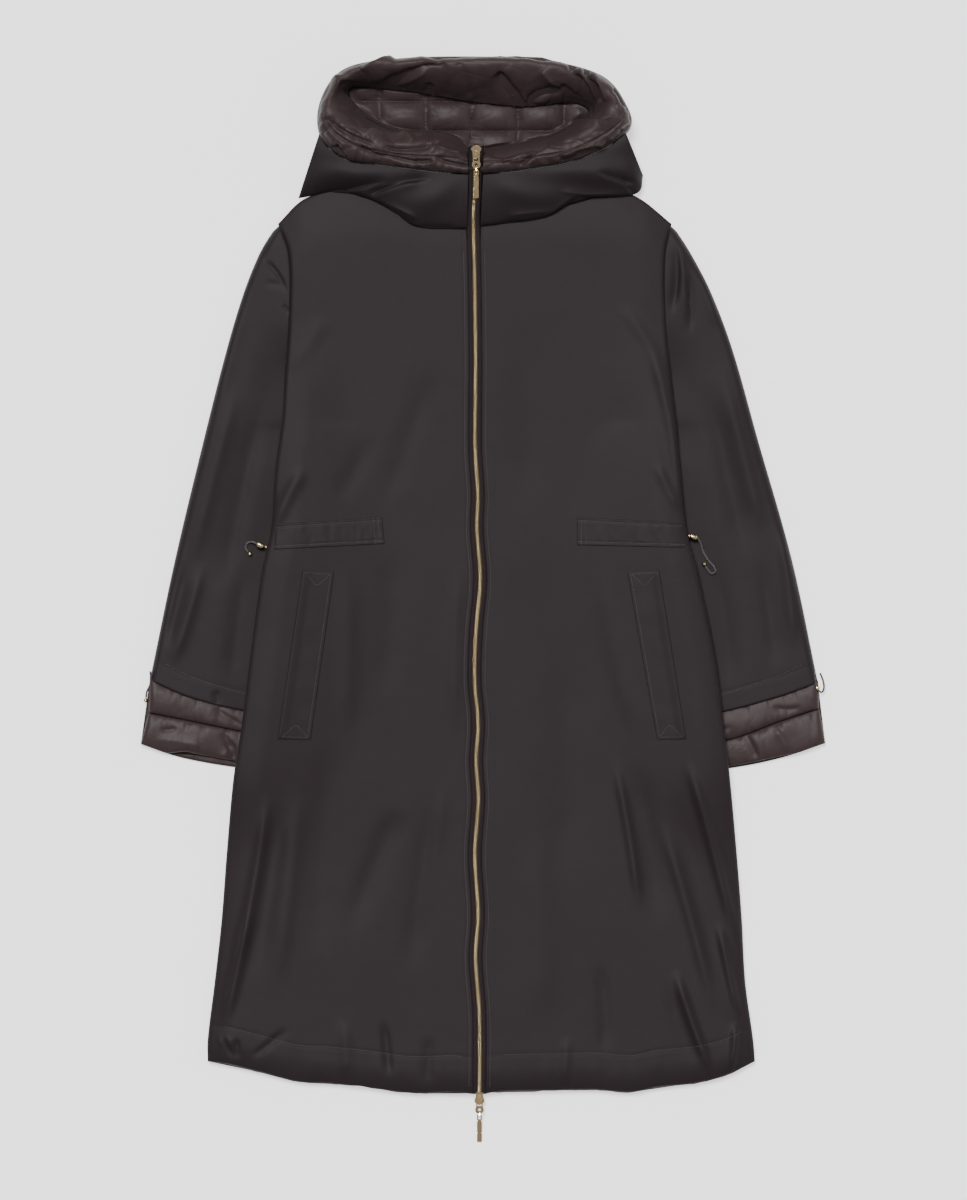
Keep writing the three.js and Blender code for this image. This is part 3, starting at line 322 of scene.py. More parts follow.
turned_profiles = {
    "eyelet": [(1.6, -0.6), (3.0, -0.6), (3.0, 0.6), (1.6, 0.6)],
    "stopper": [(1.7, -4.0), (2.5, -4.0), (3.3, -1.5), (3.6, 2.5), (2.6, 4.0), (1.7, 4.0)],
    "collar": [(1.8, -2.0), (2.4, -2.0), (3.0, 0.0), (2.4, 2.0), (1.8, 2.0)],
    "bead": [(0.02, -2.6), (1.8, -2.0), (2.6, 0.0), (1.8, 2.0), (0.02, 2.6)],
}
cord_thick, cord_step, cord_sides = 2.2, 0.8, 12
cord_routes = {
    "waist_left": {
        "route": [(-248.9, 61, 21), (-251.9, 61.3, 20.9), (-256, 63, 20.3), (-260.4, 64.8, 19.6),
                  (-266.5, 67, 16.4), (-271.5, 65, 15.4), (-273, 59.5, 15.4), (-270, 55.5, 15.5)],
        "pieces": [("eyelet", (-249.5, 61, 21), (-1, 0, 0)),
                   ("stopper", (-256, 63, 20.3), (-0.92, 0.38, -0.14)),
                   ("bead", (-268.3, 53.2, 15.9), (0.6, -0.8, 0))],
        "end": "knot",
    },
    "waist_right": {
        "route": [(236.3, 73.6, 21), (238.6, 73.6, 21), (242.2, 72.5, 20.6), (246.4, 71.3, 20.1),
                  (250.5, 65, 17.2), (253.5, 55, 15.6), (259, 46, 15.4), (265, 39, 15.4), (267.5, 33, 15.4),
                  (263.5, 30.5, 15.4), (258.5, 35, 15.4), (256, 39, 15.4)],
        "pieces": [("eyelet", (236.9, 73.6, 21), (1, 0, 0)),
                   ("stopper", (242.2, 72.5, 20.6), (0.95, -0.28, -0.12)),
                   ("bead", (254.5, 41.5, 15.6), (-0.53, 0.85, 0))],
        "end": "knot",
    },
    "cuff_left": {
        "route": [(-383, -82, 11), (-382.5, -90, 10.4), (-383.5, -98, 9.2), (-387, -105.5, 7.6),
                  (-388.2, -112.5, 6.6)],
        "pieces": [("bead", (-388.5, -115.4, 6.5), (-0.1, -1, 0))],
        "end": "knot",
    },
    "cuff_right": {
        "route": [(381, -82, 11), (381.5, -90, 11.1), (383.2, -98, 11.3), (386.6, -104.5, 10.9),
                  (390.5, -106, 9.4), (392.6, -100, 8.2), (391, -91, 7.4), (388, -84, 7.2)],
        "pieces": [("collar", (384.9, -101.4, 11.2), (0.46, -0.88, -0.05))],
        "end": "object",
    },
}
for place, cord in cord_routes.items():
    line = smooth_path(cord["route"], cord_step)
    points, faces, uv = tube(line, cord_thick / 2, cord_sides)
    drawcord = make_piece(
        f"drawcord_{place}", points, faces, braid, stands_for=[f"cord_{place}"], uv=uv)
    face_out(drawcord)
    for shape, spot, direction in cord["pieces"]:
        rows = turned_profiles[shape]
        metal = turned_piece(f"{place}_{shape}", rows, spot, direction, f"{shape}_{place}")


# Body of the coat: a back and two fronts of matte shell cloth over thin padding, sewn together at
# the sides and the shoulders. The fronts lie on the back, and the sleeves are tucked under both.
def table(names, rows):
    """The columns of a short table by name."""
    return dict(zip(names.split(), np.array(rows, float).T))


def column(rows, key, name):
    """A smooth line through one column of a table, read at any value of its key column: a cubic
    between two rows whose slope at each is that of the straight line through the rows beside it."""
    order = np.argsort(rows[key])
    keys, values = rows[key][order], rows[name][order]
    before = np.maximum(np.arange(len(keys)) - 1, 0)
    after = np.minimum(np.arange(len(keys)) + 1, len(keys) - 1)
    slope = (values[after] - values[before]) / (keys[after] - keys[before])

    def read(at):
        at = np.clip(at, keys[0], keys[-1])
        i = np.clip(np.searchsorted(keys, at) - 1, 0, len(keys) - 2)
        span = keys[i + 1] - keys[i]
        t = (at - keys[i]) / span
        a = 2 * t**3 - 3 * t**2 + 1
        b = t**3 - 2 * t**2 + t
        c = t**3 - t**2
        return a * values[i] + b * span * slope[i] + (1 - a) * values[i + 1] + c * span * slope[i + 1]

    return read


def ease(value, low, high):
    """A value that eases from 0 to 1 between two limits."""
    t = np.clip((value - low) / (high - low), 0, 1)
    return t * t * (3 - 2 * t)


def rolled(distance, radius):
    """The height of a quarter circle, from 0 at an edge to 1 at a radius from it."""
    return np.sqrt(np.maximum(1 - (1 - np.clip(distance / radius, 0, 1)) ** 2, 0))


seam = 0.3
back_wall, front_wall, edge_wall, edge_roll = 9.0, 12.0, 3.0, 34.0
zip_half = 5.6
shoulder_y, underarm_y, hem_y = 433.0, 208.0, -531.0
neck_edge_y, hem_edge_y = 474.0, -568.5
side_rows = table("y left right tuck lift sleeve edge", [
    (433, 236, 217, 0, 0, 14, 6), (397, 224, 210, 0, 0, 17, 9), (320, 224, 211, 0, 0, 17, 9),
    (262, 228, 216, 0, 4, 11, 8), (208, 231, 222, 0, 9, 11.6, 6), (196, 232.7, 223.1, 14, 9.6, 11, 5.6),
    (180, 235, 224.5, 26, 10.5, 11.4, 5), (150, 239, 227, 38, 12, 12.4, 4),
    (80, 244, 234, 60, 14.5, 11, 3.5), (35, 254, 246, 72, 15.5, 12, 3.5),
    (-67, 268, 267, 72, 15.5, 12, 3.5), (-148, 278, 277, 60, 15.5, 12, 3.5),
    (-205, 287, 284, 55, 13, 11, 3.5), (-290, 295, 292, 55, 1, 1, 3.5), (-368, 301, 298, 55, 0, 1, 3.5),
    (-440, 309, 302, 55, 0, 1, 3.5), (-506, 317, 311, 55, 0, 1, 3.5), (-531, 317, 313, 55, 0, 1, 3.5),
])
neck_rows = table("t left left_y right right_y", [
    (0.0, -236, 433, 217, 433), (0.14, -207, 461, 181, 462), (0.34, -153, 479, 136, 479),
    (0.66, -80, 477, 64, 477), (1.0, -17.5, 474, -1.5, 474),
])
hem_rows = table("t left left_y right right_y", [
    (0.0, -317, -531, 313, -531), (0.1, -292, -535, 284, -546), (0.22, -256, -544, 248, -556),
    (0.36, -212, -555, 201, -561), (0.47, -176, -557, 170, -567), (0.6, -138, -561, 128, -564),
    (0.76, -83, -568, 74, -565), (0.9, -36, -567, 24, -566), (1.0, -12, -569, 4, -568),
])
zip_rows = table("y x", [
    (524, -7), (500, -8.7), (460, -9.9), (444, -11.2), (402, -10.4), (345, -9.2), (264, -8.5), (230, -8.9),
    (172, -8.9), (120, -5.9), (83, -7.2), (23, -3.1), (-34, -7.9), (-92, -9.7), (-142, -5.6), (-186, -7.9),
    (-230, -5.3), (-293, -9.4), (-362, -5.6), (-412, -8.6), (-476, -4.2), (-570, -4.1),
])
sign = {"left": -1, "right": 1}
half = {side: column(side_rows, "y", side) for side in sign}
tuck, lift = column(side_rows, "y", "tuck"), column(side_rows, "y", "lift")
sleeve_at_edge, front_at_edge = column(side_rows, "y", "sleeve"), column(side_rows, "y", "edge")
zip_x = column(zip_rows, "y", "x")
neck_line = {side: column(neck_rows, side, f"{side}_y") for side in sign}
hem_line = {side: column(hem_rows, side, f"{side}_y") for side in sign}


def line_of(rows, side):
    """A line in plan from the columns of one side of a table."""
    x, y = column(rows, "t", side), column(rows, "t", f"{side}_y")
    return lambda t: np.stack([x(t), y(t)], -1)


def patch(top, bottom, first, last, us, vs):
    """A grid in plan between four edge lines: u runs along top and bottom and v down the two sides.
    It is the sum of the two blends across it, less the blend of its four corners."""
    u, v = us[None, :, None], vs[:, None, None]
    ends = np.array([0.0, 1.0])
    (a, b), (c, d) = top(ends), bottom(ends)
    blended = (1 - v) * top(us)[None] + v * bottom(us)[None]
    blended = blended + (1 - u) * first(vs)[:, None] + u * last(vs)[:, None]
    corners = (1 - u) * (1 - v) * a + u * (1 - v) * b + (1 - u) * v * c + u * v * d
    return blended - corners


def fine_steps(count, length, near=(0.0, 0.4, 1.1, 2.2, 3.6, 5.4)):
    """Steps from 0 to 1 along a length: close together near both ends and even between them."""
    near = np.array(near) / length
    middle = np.linspace(near[-1], 1 - near[-1], count - 2 * len(near) + 2)[1:-1]
    return np.concatenate([near, middle, 1 - near[::-1]])


hem_ripple = [(1.3, 1, 27, 8), (0.9, 1, 12, 9)]


def body_plan(side, us, vs):
    """The plan of one half of the body, from its side edge (u = 0) to the zip (u = 1). Its hem has
    small ripples, which fade out at the side seam and the zip."""

    def outer(v):
        y = shoulder_y + (hem_y - shoulder_y) * v
        return np.stack([sign[side] * half[side](y), y], -1)

    def inner(v):
        y = neck_edge_y + (hem_edge_y - neck_edge_y) * v
        return np.stack([zip_x(y) + sign[side] * zip_half, y], -1)

    plan = patch(line_of(neck_rows, side), line_of(hem_rows, side), outer, inner, us, vs)
    ripple = soft_heights(plan[..., 0], 0, hem_ripple) * ease(vs[:, None], 0.93, 1.0)
    plan[..., 1] += ripple * ease(us[None], 0, 0.03) * (1 - ease(us[None], 0.95, 1))
    return plan


def body_lift(side, x, y):
    """How high the tucked sleeve lifts the body: most at the side edge, less by the distance inward."""
    inward = half[side](y) - sign[side] * x
    share = 1 - np.maximum(inward, 0) / (tuck(y) + 70)
    return np.maximum(lift(y), 0) * (share + np.hypot(share, 0.14)) / 2


def body_edges(side, x, y):
    """Distances of a place in plan from the side edge, the zip edge, the neck line and the hem."""
    return (half[side](y) - sign[side] * x, sign[side] * (x - zip_x(y)) - zip_half,
            neck_line[side](x) - y, y - hem_line[side](x))


def curve_distance(x, y, ends, steps=14):
    """Distance from a curve in plan, its sign by the side of the curve, and the share along it.
    The curve is quadratic, through three control points, and is taken as short straight steps."""
    (x0, y0), (x1, y1), (x2, y2) = ends
    t = np.linspace(0, 1, steps + 1)
    px = (1 - t) ** 2 * x0 + 2 * t * (1 - t) * x1 + t**2 * x2
    py = (1 - t) ** 2 * y0 + 2 * t * (1 - t) * y1 + t**2 * y2
    near = np.full(x.shape, 1e9)
    side_of, share = np.zeros(x.shape), np.zeros(x.shape)
    for k in range(steps):
        dx, dy = px[k + 1] - px[k], py[k + 1] - py[k]
        span = dx * dx + dy * dy
        along = np.clip(((x - px[k]) * dx + (y - py[k]) * dy) / span, 0, 1)
        far = np.hypot(x - px[k] - along * dx, y - py[k] - along * dy)
        better = far < near
        near = np.where(better, far, near)
        side_of = np.where(better, np.sign((x - px[k]) * dy - (y - py[k]) * dx), side_of)
        share = np.where(better, (k + along) / steps, share)
    return near, side_of, share


def creases(x, y, rows, sharp=2.0, fading=0.3):
    """Heights of soft creases: each lies along a curve, and is a rounded ridge (or trough, where it
    is negative) that fades out at both ends. With a lean it is steep on one side, with a hollow
    beside it: the ridge's height is multiplied by 1 plus lean times twice the distance over its width.
    A sharpness under 2 gives the crest an edge, as in crisp nylon."""
    total = np.zeros(np.shape(x))
    for x0, y0, x1, y1, x2, y2, high, wide, lean in rows:
        reach = 3.2 * wide
        low = np.array([min(x0, x1, x2), min(y0, y1, y2)]) - reach
        top = np.array([max(x0, x1, x2), max(y0, y1, y2)]) + reach
        inside = (x > low[0]) & (x < top[0]) & (y > low[1]) & (y < top[1])
        if not inside.any():
            continue
        near, side_of, share = curve_distance(x[inside], y[inside], ((x0, y0), (x1, y1), (x2, y2)))
        fade = ease(share, -0.02, fading) * (1 - ease(share, 1 - fading, 1.02))
        q = near / wide
        total[inside] += high * fade * np.exp(-(q**sharp)) * (1 + lean * 2 * q * side_of)
    return total


def uneven(x, y, size, seed):
    """Soft random heights between about -1 and 1: slopes drawn at random on a square lattice of
    the given size, blended smoothly between its corners."""
    lattice = 64
    turn = np.random.default_rng(seed).uniform(0, 2 * np.pi, (lattice, lattice))
    gx, gy = np.asarray(x) / size + 0.37 * seed, np.asarray(y) / size + 0.61 * seed
    i, j = np.floor(gx).astype(int), np.floor(gy).astype(int)
    fx, fy = gx - i, gy - j
    wx, wy = fx**3 * (fx * (fx * 6 - 15) + 10), fy**3 * (fy * (fy * 6 - 15) + 10)

    def slope(di, dj):
        angle = turn[(i + di) % lattice, (j + dj) % lattice]
        return np.cos(angle) * (fx - di) + np.sin(angle) * (fy - dj)

    near = slope(0, 0) * (1 - wx) + slope(1, 0) * wx
    far = slope(0, 1) * (1 - wx) + slope(1, 1) * wx
    return 1.6 * (near * (1 - wy) + far * wy)


def soft_heights(x, y, rows):
    """The sum of some soft random heights: each row is a height, a squeeze along the coat, a size
    and a seed."""
    return sum(high * uneven(x, squeeze * y, size, seed) for high, squeeze, size, seed in rows)


front_creases = {
    "left": [
        (-246, -222, -254, -310, -283, -429, 4.0, 7, 0.35), (-232, -230, -241, -316, -266, -443, -2.0, 10, 0),
        (-264, -351, -279, -420, -297, -494, 4.4, 7, 0.35),
        (-300, -501, -292, -511, -285, -529, -1.8, 3.5, 0.6),
        (-284, -504, -282, -515, -283, -529, -2.4, 3, 0), (-307, -508, -298, -506, -286, -511, 1.4, 5, 0),
        (-268, -526, -247, -511, -225, -491, -2.0, 4, 0.4),
        (-91, -240, -113, -287, -155, -392, -2.2, 15, 0.25),
        (-55, -230, -63, -331, -83, -435, -2.0, 14, 0.25), (-41, -201, -59, -299, -72, -391, 1.3, 8, 0),
        (-113, -483, -109, -517, -106, -550, -2.4, 5, 0.3), (-56, 260, -78, 195, -113, 99, -1.3, 14, 0.25),
        (-123, 194, -147, 138, -169, 112, -1.1, 12, 0.2), (-179, 327, -199, 299, -225, 260, 1.0, 10, 0),
        (-202, 152, -224, 121, -240, 78, 2.8, 8, 0.3), (-210, -218, -220, -322, -238, -460, 2.4, 12, 0.2),
        (-176, -161, -185, -287, -190, -414, -2.0, 18, 0), (-26, 46, -36, -46, -32, -161, 1.5, 8, 0),
        (-102, 69, -100, -23, -113, -115, -1.4, 16, 0), (-159, 46, -151, -57, -159, -161, 1.4, 12, 0),
        (-160, -480, -152, -520, -158, -552, 1.6, 8, 0.3), (-62, -500, -58, -530, -64, -560, -1.5, 7, 0.3),
    ],
    "right": [
        (235, -182, 263, -264, 298, -414, 5.0, 6.5, 0.2), (218, -218, 250, -322, 282, -460, -1.8, 12, 0),
        (206, -253, 238, -351, 268, -477, 3.0, 7, 0.15), (222, -423, 238, -483, 266, -547, 4.6, 5.5, 0.25),
        (212, -443, 225, -494, 243, -540, -1.2, 8, 0), (271, -368, 283, -425, 297, -488, 4.2, 5, 0.2),
        (291, -483, 294, -517, 285, -547, 3.8, 5, 0.4), (152, -178, 174, -276, 182, -359, 2.8, 6, 0.4),
        (171, -184, 194, -282, 204, -379, -2.6, 14, 0), (154, 345, 204, 293, 222, 224, 1.4, 8, 0.25),
        (190, 293, 222, 224, 229, 95, 2.6, 7, 0.25), (200, 158, 213, 129, 227, 101, 2.0, 6, 0.2),
        (43, 345, 60, 207, 43, 92, -1.4, 24, 0), (89, -23, 106, -184, 89, -345, -1.8, 22, 0),
        (135, 46, 148, -69, 181, -161, 1.4, 12, 0), (54, -264, 71, -379, 66, -494, 1.8, 18, 0),
        (135, -414, 146, -471, 141, -529, -1.8, 9, 0.2), (96, -500, 100, -530, 92, -560, 1.4, 6, 0.3),
    ],
}
front_padding = [(0.5, 0.6, 80, 3), (0.12, 0.7, 30, 4), (0.05, 1, 11, 5)]
hem_stitch, zip_stitch = 43.0, 6.4


def thinner(distance, share, reach):
    """How the padding thins towards a seam: 1 past a reach from it, and less a share at the seam,
    by the square of what is left of the reach."""
    return 1 - share * (1 - np.clip(distance / reach, 0, 1)) ** 2


def stitch_dent(away, deep, wide):
    """The dent of a line of stitching: a bell curve of the distance from it."""
    return deep * np.exp(-(away / wide) ** 2)


def front_top(side, x, y):
    """Height of a front at a place in plan: the back under it, then a wall that is thin and rounded
    at its edges and full inside them, with the creases, the soft unevenness of padding, and the
    dent of the hem's stitching."""
    x, y = np.asarray(x, float), np.asarray(y, float)
    from_side, from_zip, from_neck, from_hem = body_edges(side, x, y)
    edge = front_at_edge(y)
    crown = edge + (front_wall - edge) * np.sqrt(ease(from_side, -4, edge_roll))
    ends = thinner(from_neck, 0.65, 70) * thinner(from_hem, 0.45, 30)
    soft = soft_heights(x, y, front_padding)
    dent = stitch_dent(from_hem - hem_stitch, 0.45, 1.6) + stitch_dent(from_zip - zip_stitch, 0.35, 1.4)
    gathered = 0.8 * uneven(x, 0.3 * from_hem, 17, 6) * (1 - ease(from_hem, 15, 55))
    shape = creases(x, y, front_creases[side]) + soft + gathered - dent
    thick = np.maximum(crown * ends + shape * np.clip(ends, 0, 1), edge_wall)
    border = 0.42 * np.minimum(thick, edge)
    roll = rolled(from_side, 5) * rolled(from_zip, 3) * rolled(from_neck, 4) * rolled(from_hem, 2.6)
    return body_lift(side, x, y) + back_wall + seam + border + (thick - border) * roll


def closed_panel(top, under, kept):
    """Points and faces of a closed wall: a fine grid on top, a grid below with only the kept
    columns, and one border between them."""
    rows, cols = top.shape[:2]
    index = np.arange(rows * cols).reshape(rows, cols)
    kept = np.asarray(kept)
    low = index[:, kept].copy()
    low[1:-1, 1:-1] = rows * cols + np.arange((rows - 2) * (len(kept) - 2)).reshape(rows - 2, -1)
    points = np.vstack([top.reshape(-1, 3), under[1:-1, kept[1:-1]].reshape(-1, 3)])
    faces = grid_faces(rows, cols).tolist()
    below = np.stack([low[1:-2, :-1], low[2:-1, :-1], low[2:-1, 1:], low[1:-2, 1:]], -1)
    faces += below.reshape(-1, 4).tolist()
    for k, (a, b) in enumerate(zip(kept[:-1], kept[1:])):
        faces.append([index[0, a], low[1, k], low[1, k + 1], *index[0, b:a:-1]])
        faces.append([low[-2, k], *index[-1, a:b], index[-1, b], low[-2, k + 1]])
    return points, faces


def kept_columns(count, every):
    """The columns of a panel's underside: the first few at each edge and then one in so many."""
    inner = np.arange(4, count - 4, every)
    return np.unique(np.concatenate([[0, 2, 4], inner, [count - 5, count - 3, count - 1]]))


def raised(plan, height):
    """Points of a grid from its plan and its heights."""
    return np.concatenate([plan, np.broadcast_to(height, plan.shape[:2])[..., None]], -1)


def weave_group():
    """Plain weave from 0 to 1: two crossed sets of threads, which wander a little."""
    group, given, out = node_group(
        "plain_weave",
        {"Vector": ("NodeSocketVector", None), "Threads": ("NodeSocketFloat", 1400.0)},
        {"Height": "NodeSocketFloat"},
    )
    threads = [waves(group, given["Vector"], given["Threads"], 0.6, direction) for direction in ("X", "Y")]
    group.links.new(maths(group, "MAXIMUM", *threads), out["Height"])
    return group


weave = weave_group()


def shell_material():
    """Matte cotton and nylon cloth, dark brown grey: a fine weave, faint patches, and a soft nap."""
    material, tree, shader, place = start_material(
        "matte_shell", 0.6, Specular_IOR_Level=0.16, Sheen_Weight=0.03, Sheen_Roughness=0.4)
    amount = use_group(tree, patches, Vector=place, Size=9.0)["Amount"]
    paint(tree, shader, (0.0112, 0.0071, 0.0082), (0.0155, 0.0104, 0.0118), amount)
    threads = use_group(tree, weave, Vector=place, Threads=320.0)["Height"]
    height = maths(tree, "ADD", maths(tree, "MULTIPLY", threads, 0.35), noise(tree, place, 700.0, 3.0))
    add_bump(tree, shader, height, 0.00012, 0.6)
    return material


shell = shell_material()
half_wide = 285.0
body_rows = fine_steps(430, neck_edge_y - hem_edge_y)
for side in sign:
    us = fine_steps(132, half_wide)
    plan = body_plan(side, us, body_rows)
    x, y = plan[..., 0], plan[..., 1]
    top = raised(plan, front_top(side, x, y))
    under = raised(plan, body_lift(side, x, y) + back_wall + seam)
    points, faces = closed_panel(top, under, kept_columns(len(us), 24))
    front = make_piece(f"front_{side}_cloth", points, faces, shell, stands_for=[f"front_{side}"])
    face_out(front)

back_us = fine_steps(46, half_wide)
back_vs = fine_steps(170, 1040)
halves = [body_plan("left", back_us, back_vs), body_plan("right", back_us, back_vs)[:, ::-1]]
back_plan = np.concatenate(halves, 1)
back_lift = np.concatenate([body_lift(s, p[..., 0], p[..., 1]) for s, p in zip(sign, halves)], 1)
edges = [body_edges(s, p[..., 0], p[..., 1]) for s, p in zip(sign, halves)]
back_roll = np.concatenate([rolled(e[0], 5) * rolled(e[2], 5) * rolled(e[3], 4) for e in edges], 1)
middle = back_lift + back_wall / 2
back_top = raised(back_plan, middle + back_wall / 2 * back_roll)
back_under = raised(back_plan, middle - back_wall / 2 * back_roll)
points, faces = closed_panel(back_top, back_under, np.arange(back_plan.shape[1]))
back = make_piece("back_cloth", points, faces, shell, stands_for=["back"])
face_out(back)

# Sleeves: tubes of the same shell cloth, set into the armholes and pressed flat, with a hem that is
# stitched 22 mm above its edge. Their undersides lie on the surface and their inner edges are
# tucked under the body.
sleeve_high, cloth_wall, armhole_tuck = 15.0, 1.2, 2.8
sleeve_line = table("t left left_y right right_y", [
    (0.0, -236.5, 433, 217.5, 433), (0.1, -257, 400, 239, 400), (0.18, -275, 356, 262, 356),
    (0.3, -295, 290, 287, 290), (0.5, -322, 184, 317, 184), (0.75, -355, 46, 356, 46),
    (1.0, -384, -93, 386, -96),
])
arm_lines = {
    "hem": table("t left left_y right right_y", [
        (0.0, -384, -93, 386, -96), (0.3, -340, -112, 341, -112), (0.65, -282, -127, 282, -128),
        (1.0, -222, -136, 222, -138)]),
    "tier": table("t left left_y right right_y", [
        (0.0, -385, -130, 387, -125), (0.3, -343, -138, 344, -139), (0.65, -285, -150, 286, -160),
        (1.0, -226, -160, 226, -168)]),
    "end": table("t left left_y right right_y", [
        (0.0, -394.3, -166, 394.3, -165), (0.3, -350, -181, 347, -181), (0.65, -291, -192, 290, -193),
        (1.0, -230, -198, 230, -199)]),
}
sleeve_creases = {
    "left": [
        (-237, 430, -247, 414, -254, 389, -1.6, 4, 0.3), (-250, 391, -236, 382, -224, 353, -1.3, 3, 0.6),
        (-252, 364, -240, 368, -228, 360, -0.9, 2.6, 0.5), (-230, 340, -226, 337, -222, 328, -0.9, 2.6, 0.4),
        (-279, 253, -309, 150, -335, 35, 3.2, 12, 0.2), (-254, 230, -276, 126, -300, 0, -3.2, 13, 0.2),
        (-289, 345, -300, 288, -316, 218, 2.4, 12, 0), (-320, 46, -337, -23, -358, -78, 3.0, 8, 0.25),
        (-339, 46, -353, -11, -365, -57, -2.2, 7, 0), (-273, 46, -284, -34, -291, -103, -2.0, 12, 0),
        (-309, -103, -304, -114, -307, -122, -1.6, 4, 0),
    ],
    "right": [
        (217, 428, 233, 389, 238, 309, 2.6, 6, 0.3), (221, 422, 231, 374, 216, 325, -2.6, 5, 0.4),
        (236, 374, 243, 345, 238, 305, -2.4, 5, 0.3), (250, 391, 263, 357, 268, 311, 2.0, 8, 0),
        (273, 276, 305, 150, 323, 81, 3.0, 10, 0.2), (254, 253, 286, 138, 301, 46, -2.8, 13, 0),
        (344, 92, 355, 12, 360, -57, 3.0, 8, 0.25), (319, 46, 332, -23, 337, -80, -2.0, 10, 0),
        (268, 46, 282, -34, 286, -103, -2.0, 12, 0),
    ],
}


def arm_high(side, x, y):
    """Height of a flat arm at a place in plan: thin where it is tucked under the body."""
    outside = sign[side] * x - half[side](y)
    edge = sleeve_at_edge(y)
    tucked = edge * (1 - 0.6 * np.clip(-outside / np.maximum(tuck(y), 20), 0, 1))
    return np.where(outside < 0, tucked, edge + (sleeve_high - edge) * ease(outside, 0, 45))


def sleeve_plan(side, us, vs):
    """The plan of a sleeve, from its outer edge (u = 0) to its hidden one, and from the armhole
    (v = 0) to the hem."""
    hem = line_of(arm_lines["hem"], side)
    hem_corner = hem(np.array([1.0]))[0]

    def armhole(u):
        y = shoulder_y + (underarm_y - shoulder_y) * u
        return np.stack([sign[side] * half[side](y), y], -1)

    def hidden(v):
        y = underarm_y + (hem_corner[1] - underarm_y) * v
        x = sign[side] * (half[side](y) + 2 * seam * ease(v, 0, 0.05) - tuck(y))
        return np.stack([x + (hem_corner[0] - x) * ease(v, 0.88, 1.0), y], -1)

    plan = patch(armhole, hem, line_of(sleeve_line, side), hidden, us, vs)
    plan[..., 0] -= sign[side] * armhole_tuck * (1 - ease(vs[:, None], 0, 0.03))
    return plan


def tube_wall(outer, inner):
    """Points and faces of a tube with a wall: rings of the outside and of the inside, with the same
    number of points round each, joined at both ends."""
    count = outer.shape[1]
    low = len(outer) * count
    last_out, last_in = low - count, low + (len(inner) - 1) * count
    turn, after = np.arange(count), np.roll(np.arange(count), -1)
    faces = grid_faces(len(outer), count, wrap=True).tolist()
    faces += (low + grid_faces(len(inner), count, wrap=True)[:, ::-1]).tolist()
    faces += np.stack([after, turn, low + turn, low + after], -1).tolist()
    faces += np.stack([last_out + turn, last_out + after, last_in + after, last_in + turn], -1).tolist()
    return np.vstack([outer.reshape(-1, 3), inner.reshape(-1, 3)]), faces


hem_fold = 22.0
sleeve_padding = [(0.5, 0.6, 60, 13), (0.14, 0.7, 26, 14), (0.05, 1, 10, 15)]
sleeve_tops = {}
for side in sign:
    vs = fine_steps(230, 480)
    round_us = fine_steps(84, 150, near=(0.0, 0.5, 1.4, 2.8, 4.8, 7.5))
    under_us = np.array([0.01, 0.03, 0.06, 0.2, 0.4, 0.6, 0.8, 0.94, 0.98])
    ring_us = np.concatenate([round_us[::-1], under_us])
    is_top = np.arange(len(ring_us))[None] < len(round_us)
    plan = sleeve_plan(side, ring_us, vs)
    x, y = plan[..., 0], plan[..., 1]
    wide = np.linalg.norm(plan[:, 0] - plan[:, len(round_us) - 1], axis=-1)[:, None]
    from_outer, from_hidden = ring_us * wide, (1 - ring_us) * wide
    long = np.linalg.norm(plan[-1] - plan[0], axis=-1)[None]
    from_armhole, from_hem = vs[:, None] * long, (1 - vs[:, None]) * long
    soft = soft_heights(x, y, sleeve_padding)
    full = arm_high(side, x, y)
    calm = np.clip(full / sleeve_high, 0, 1)
    full = np.maximum(full + (soft + creases(x, y, sleeve_creases[side], 1.6)) * calm, 2.6)
    dent = stitch_dent(from_hem - hem_fold, 0.4, 1.4)
    border = 0.4 * np.minimum(full, 9)
    roll = rolled(from_outer, 9) * rolled(from_hidden, 4)
    top = border + (full - dent * calm - border) * roll
    top = top * (0.78 + 0.22 * rolled(from_armhole, 7)) * (0.78 + 0.22 * rolled(from_hem, 2.5))
    bottom = border * (1 - rolled(from_outer, 6) * rolled(from_hidden, 4))
    outside = raised(plan, np.where(is_top, top, bottom))
    room = np.maximum(top - bottom, 0) / 2
    inward = np.minimum(cloth_wall, 0.9 * room) * np.where(is_top, -1, 1)
    inside = outside + np.stack([np.zeros_like(x), np.zeros_like(x), inward], -1)
    inset = np.clip(ring_us, 0.009, 0.991)
    inside[..., :2] = sleeve_plan(side, inset, vs)
    inner_rows = np.unique(np.concatenate([np.arange(0, len(vs), 8), [len(vs) - 1]]))
    points, faces = tube_wall(outside, inside[inner_rows])
    at_stitch = int(np.argmin(np.abs(from_hem[:, len(round_us) // 2] - hem_fold)))
    sleeve_tops[side] = outside[at_stitch, 6:len(round_us) - 8]
    sleeve = make_piece(f"sleeve_{side}_cloth", points, faces, shell,
                        stands_for=[f"sleeve_{side}_front", f"sleeve_{side}_back"])
    face_out(sleeve)

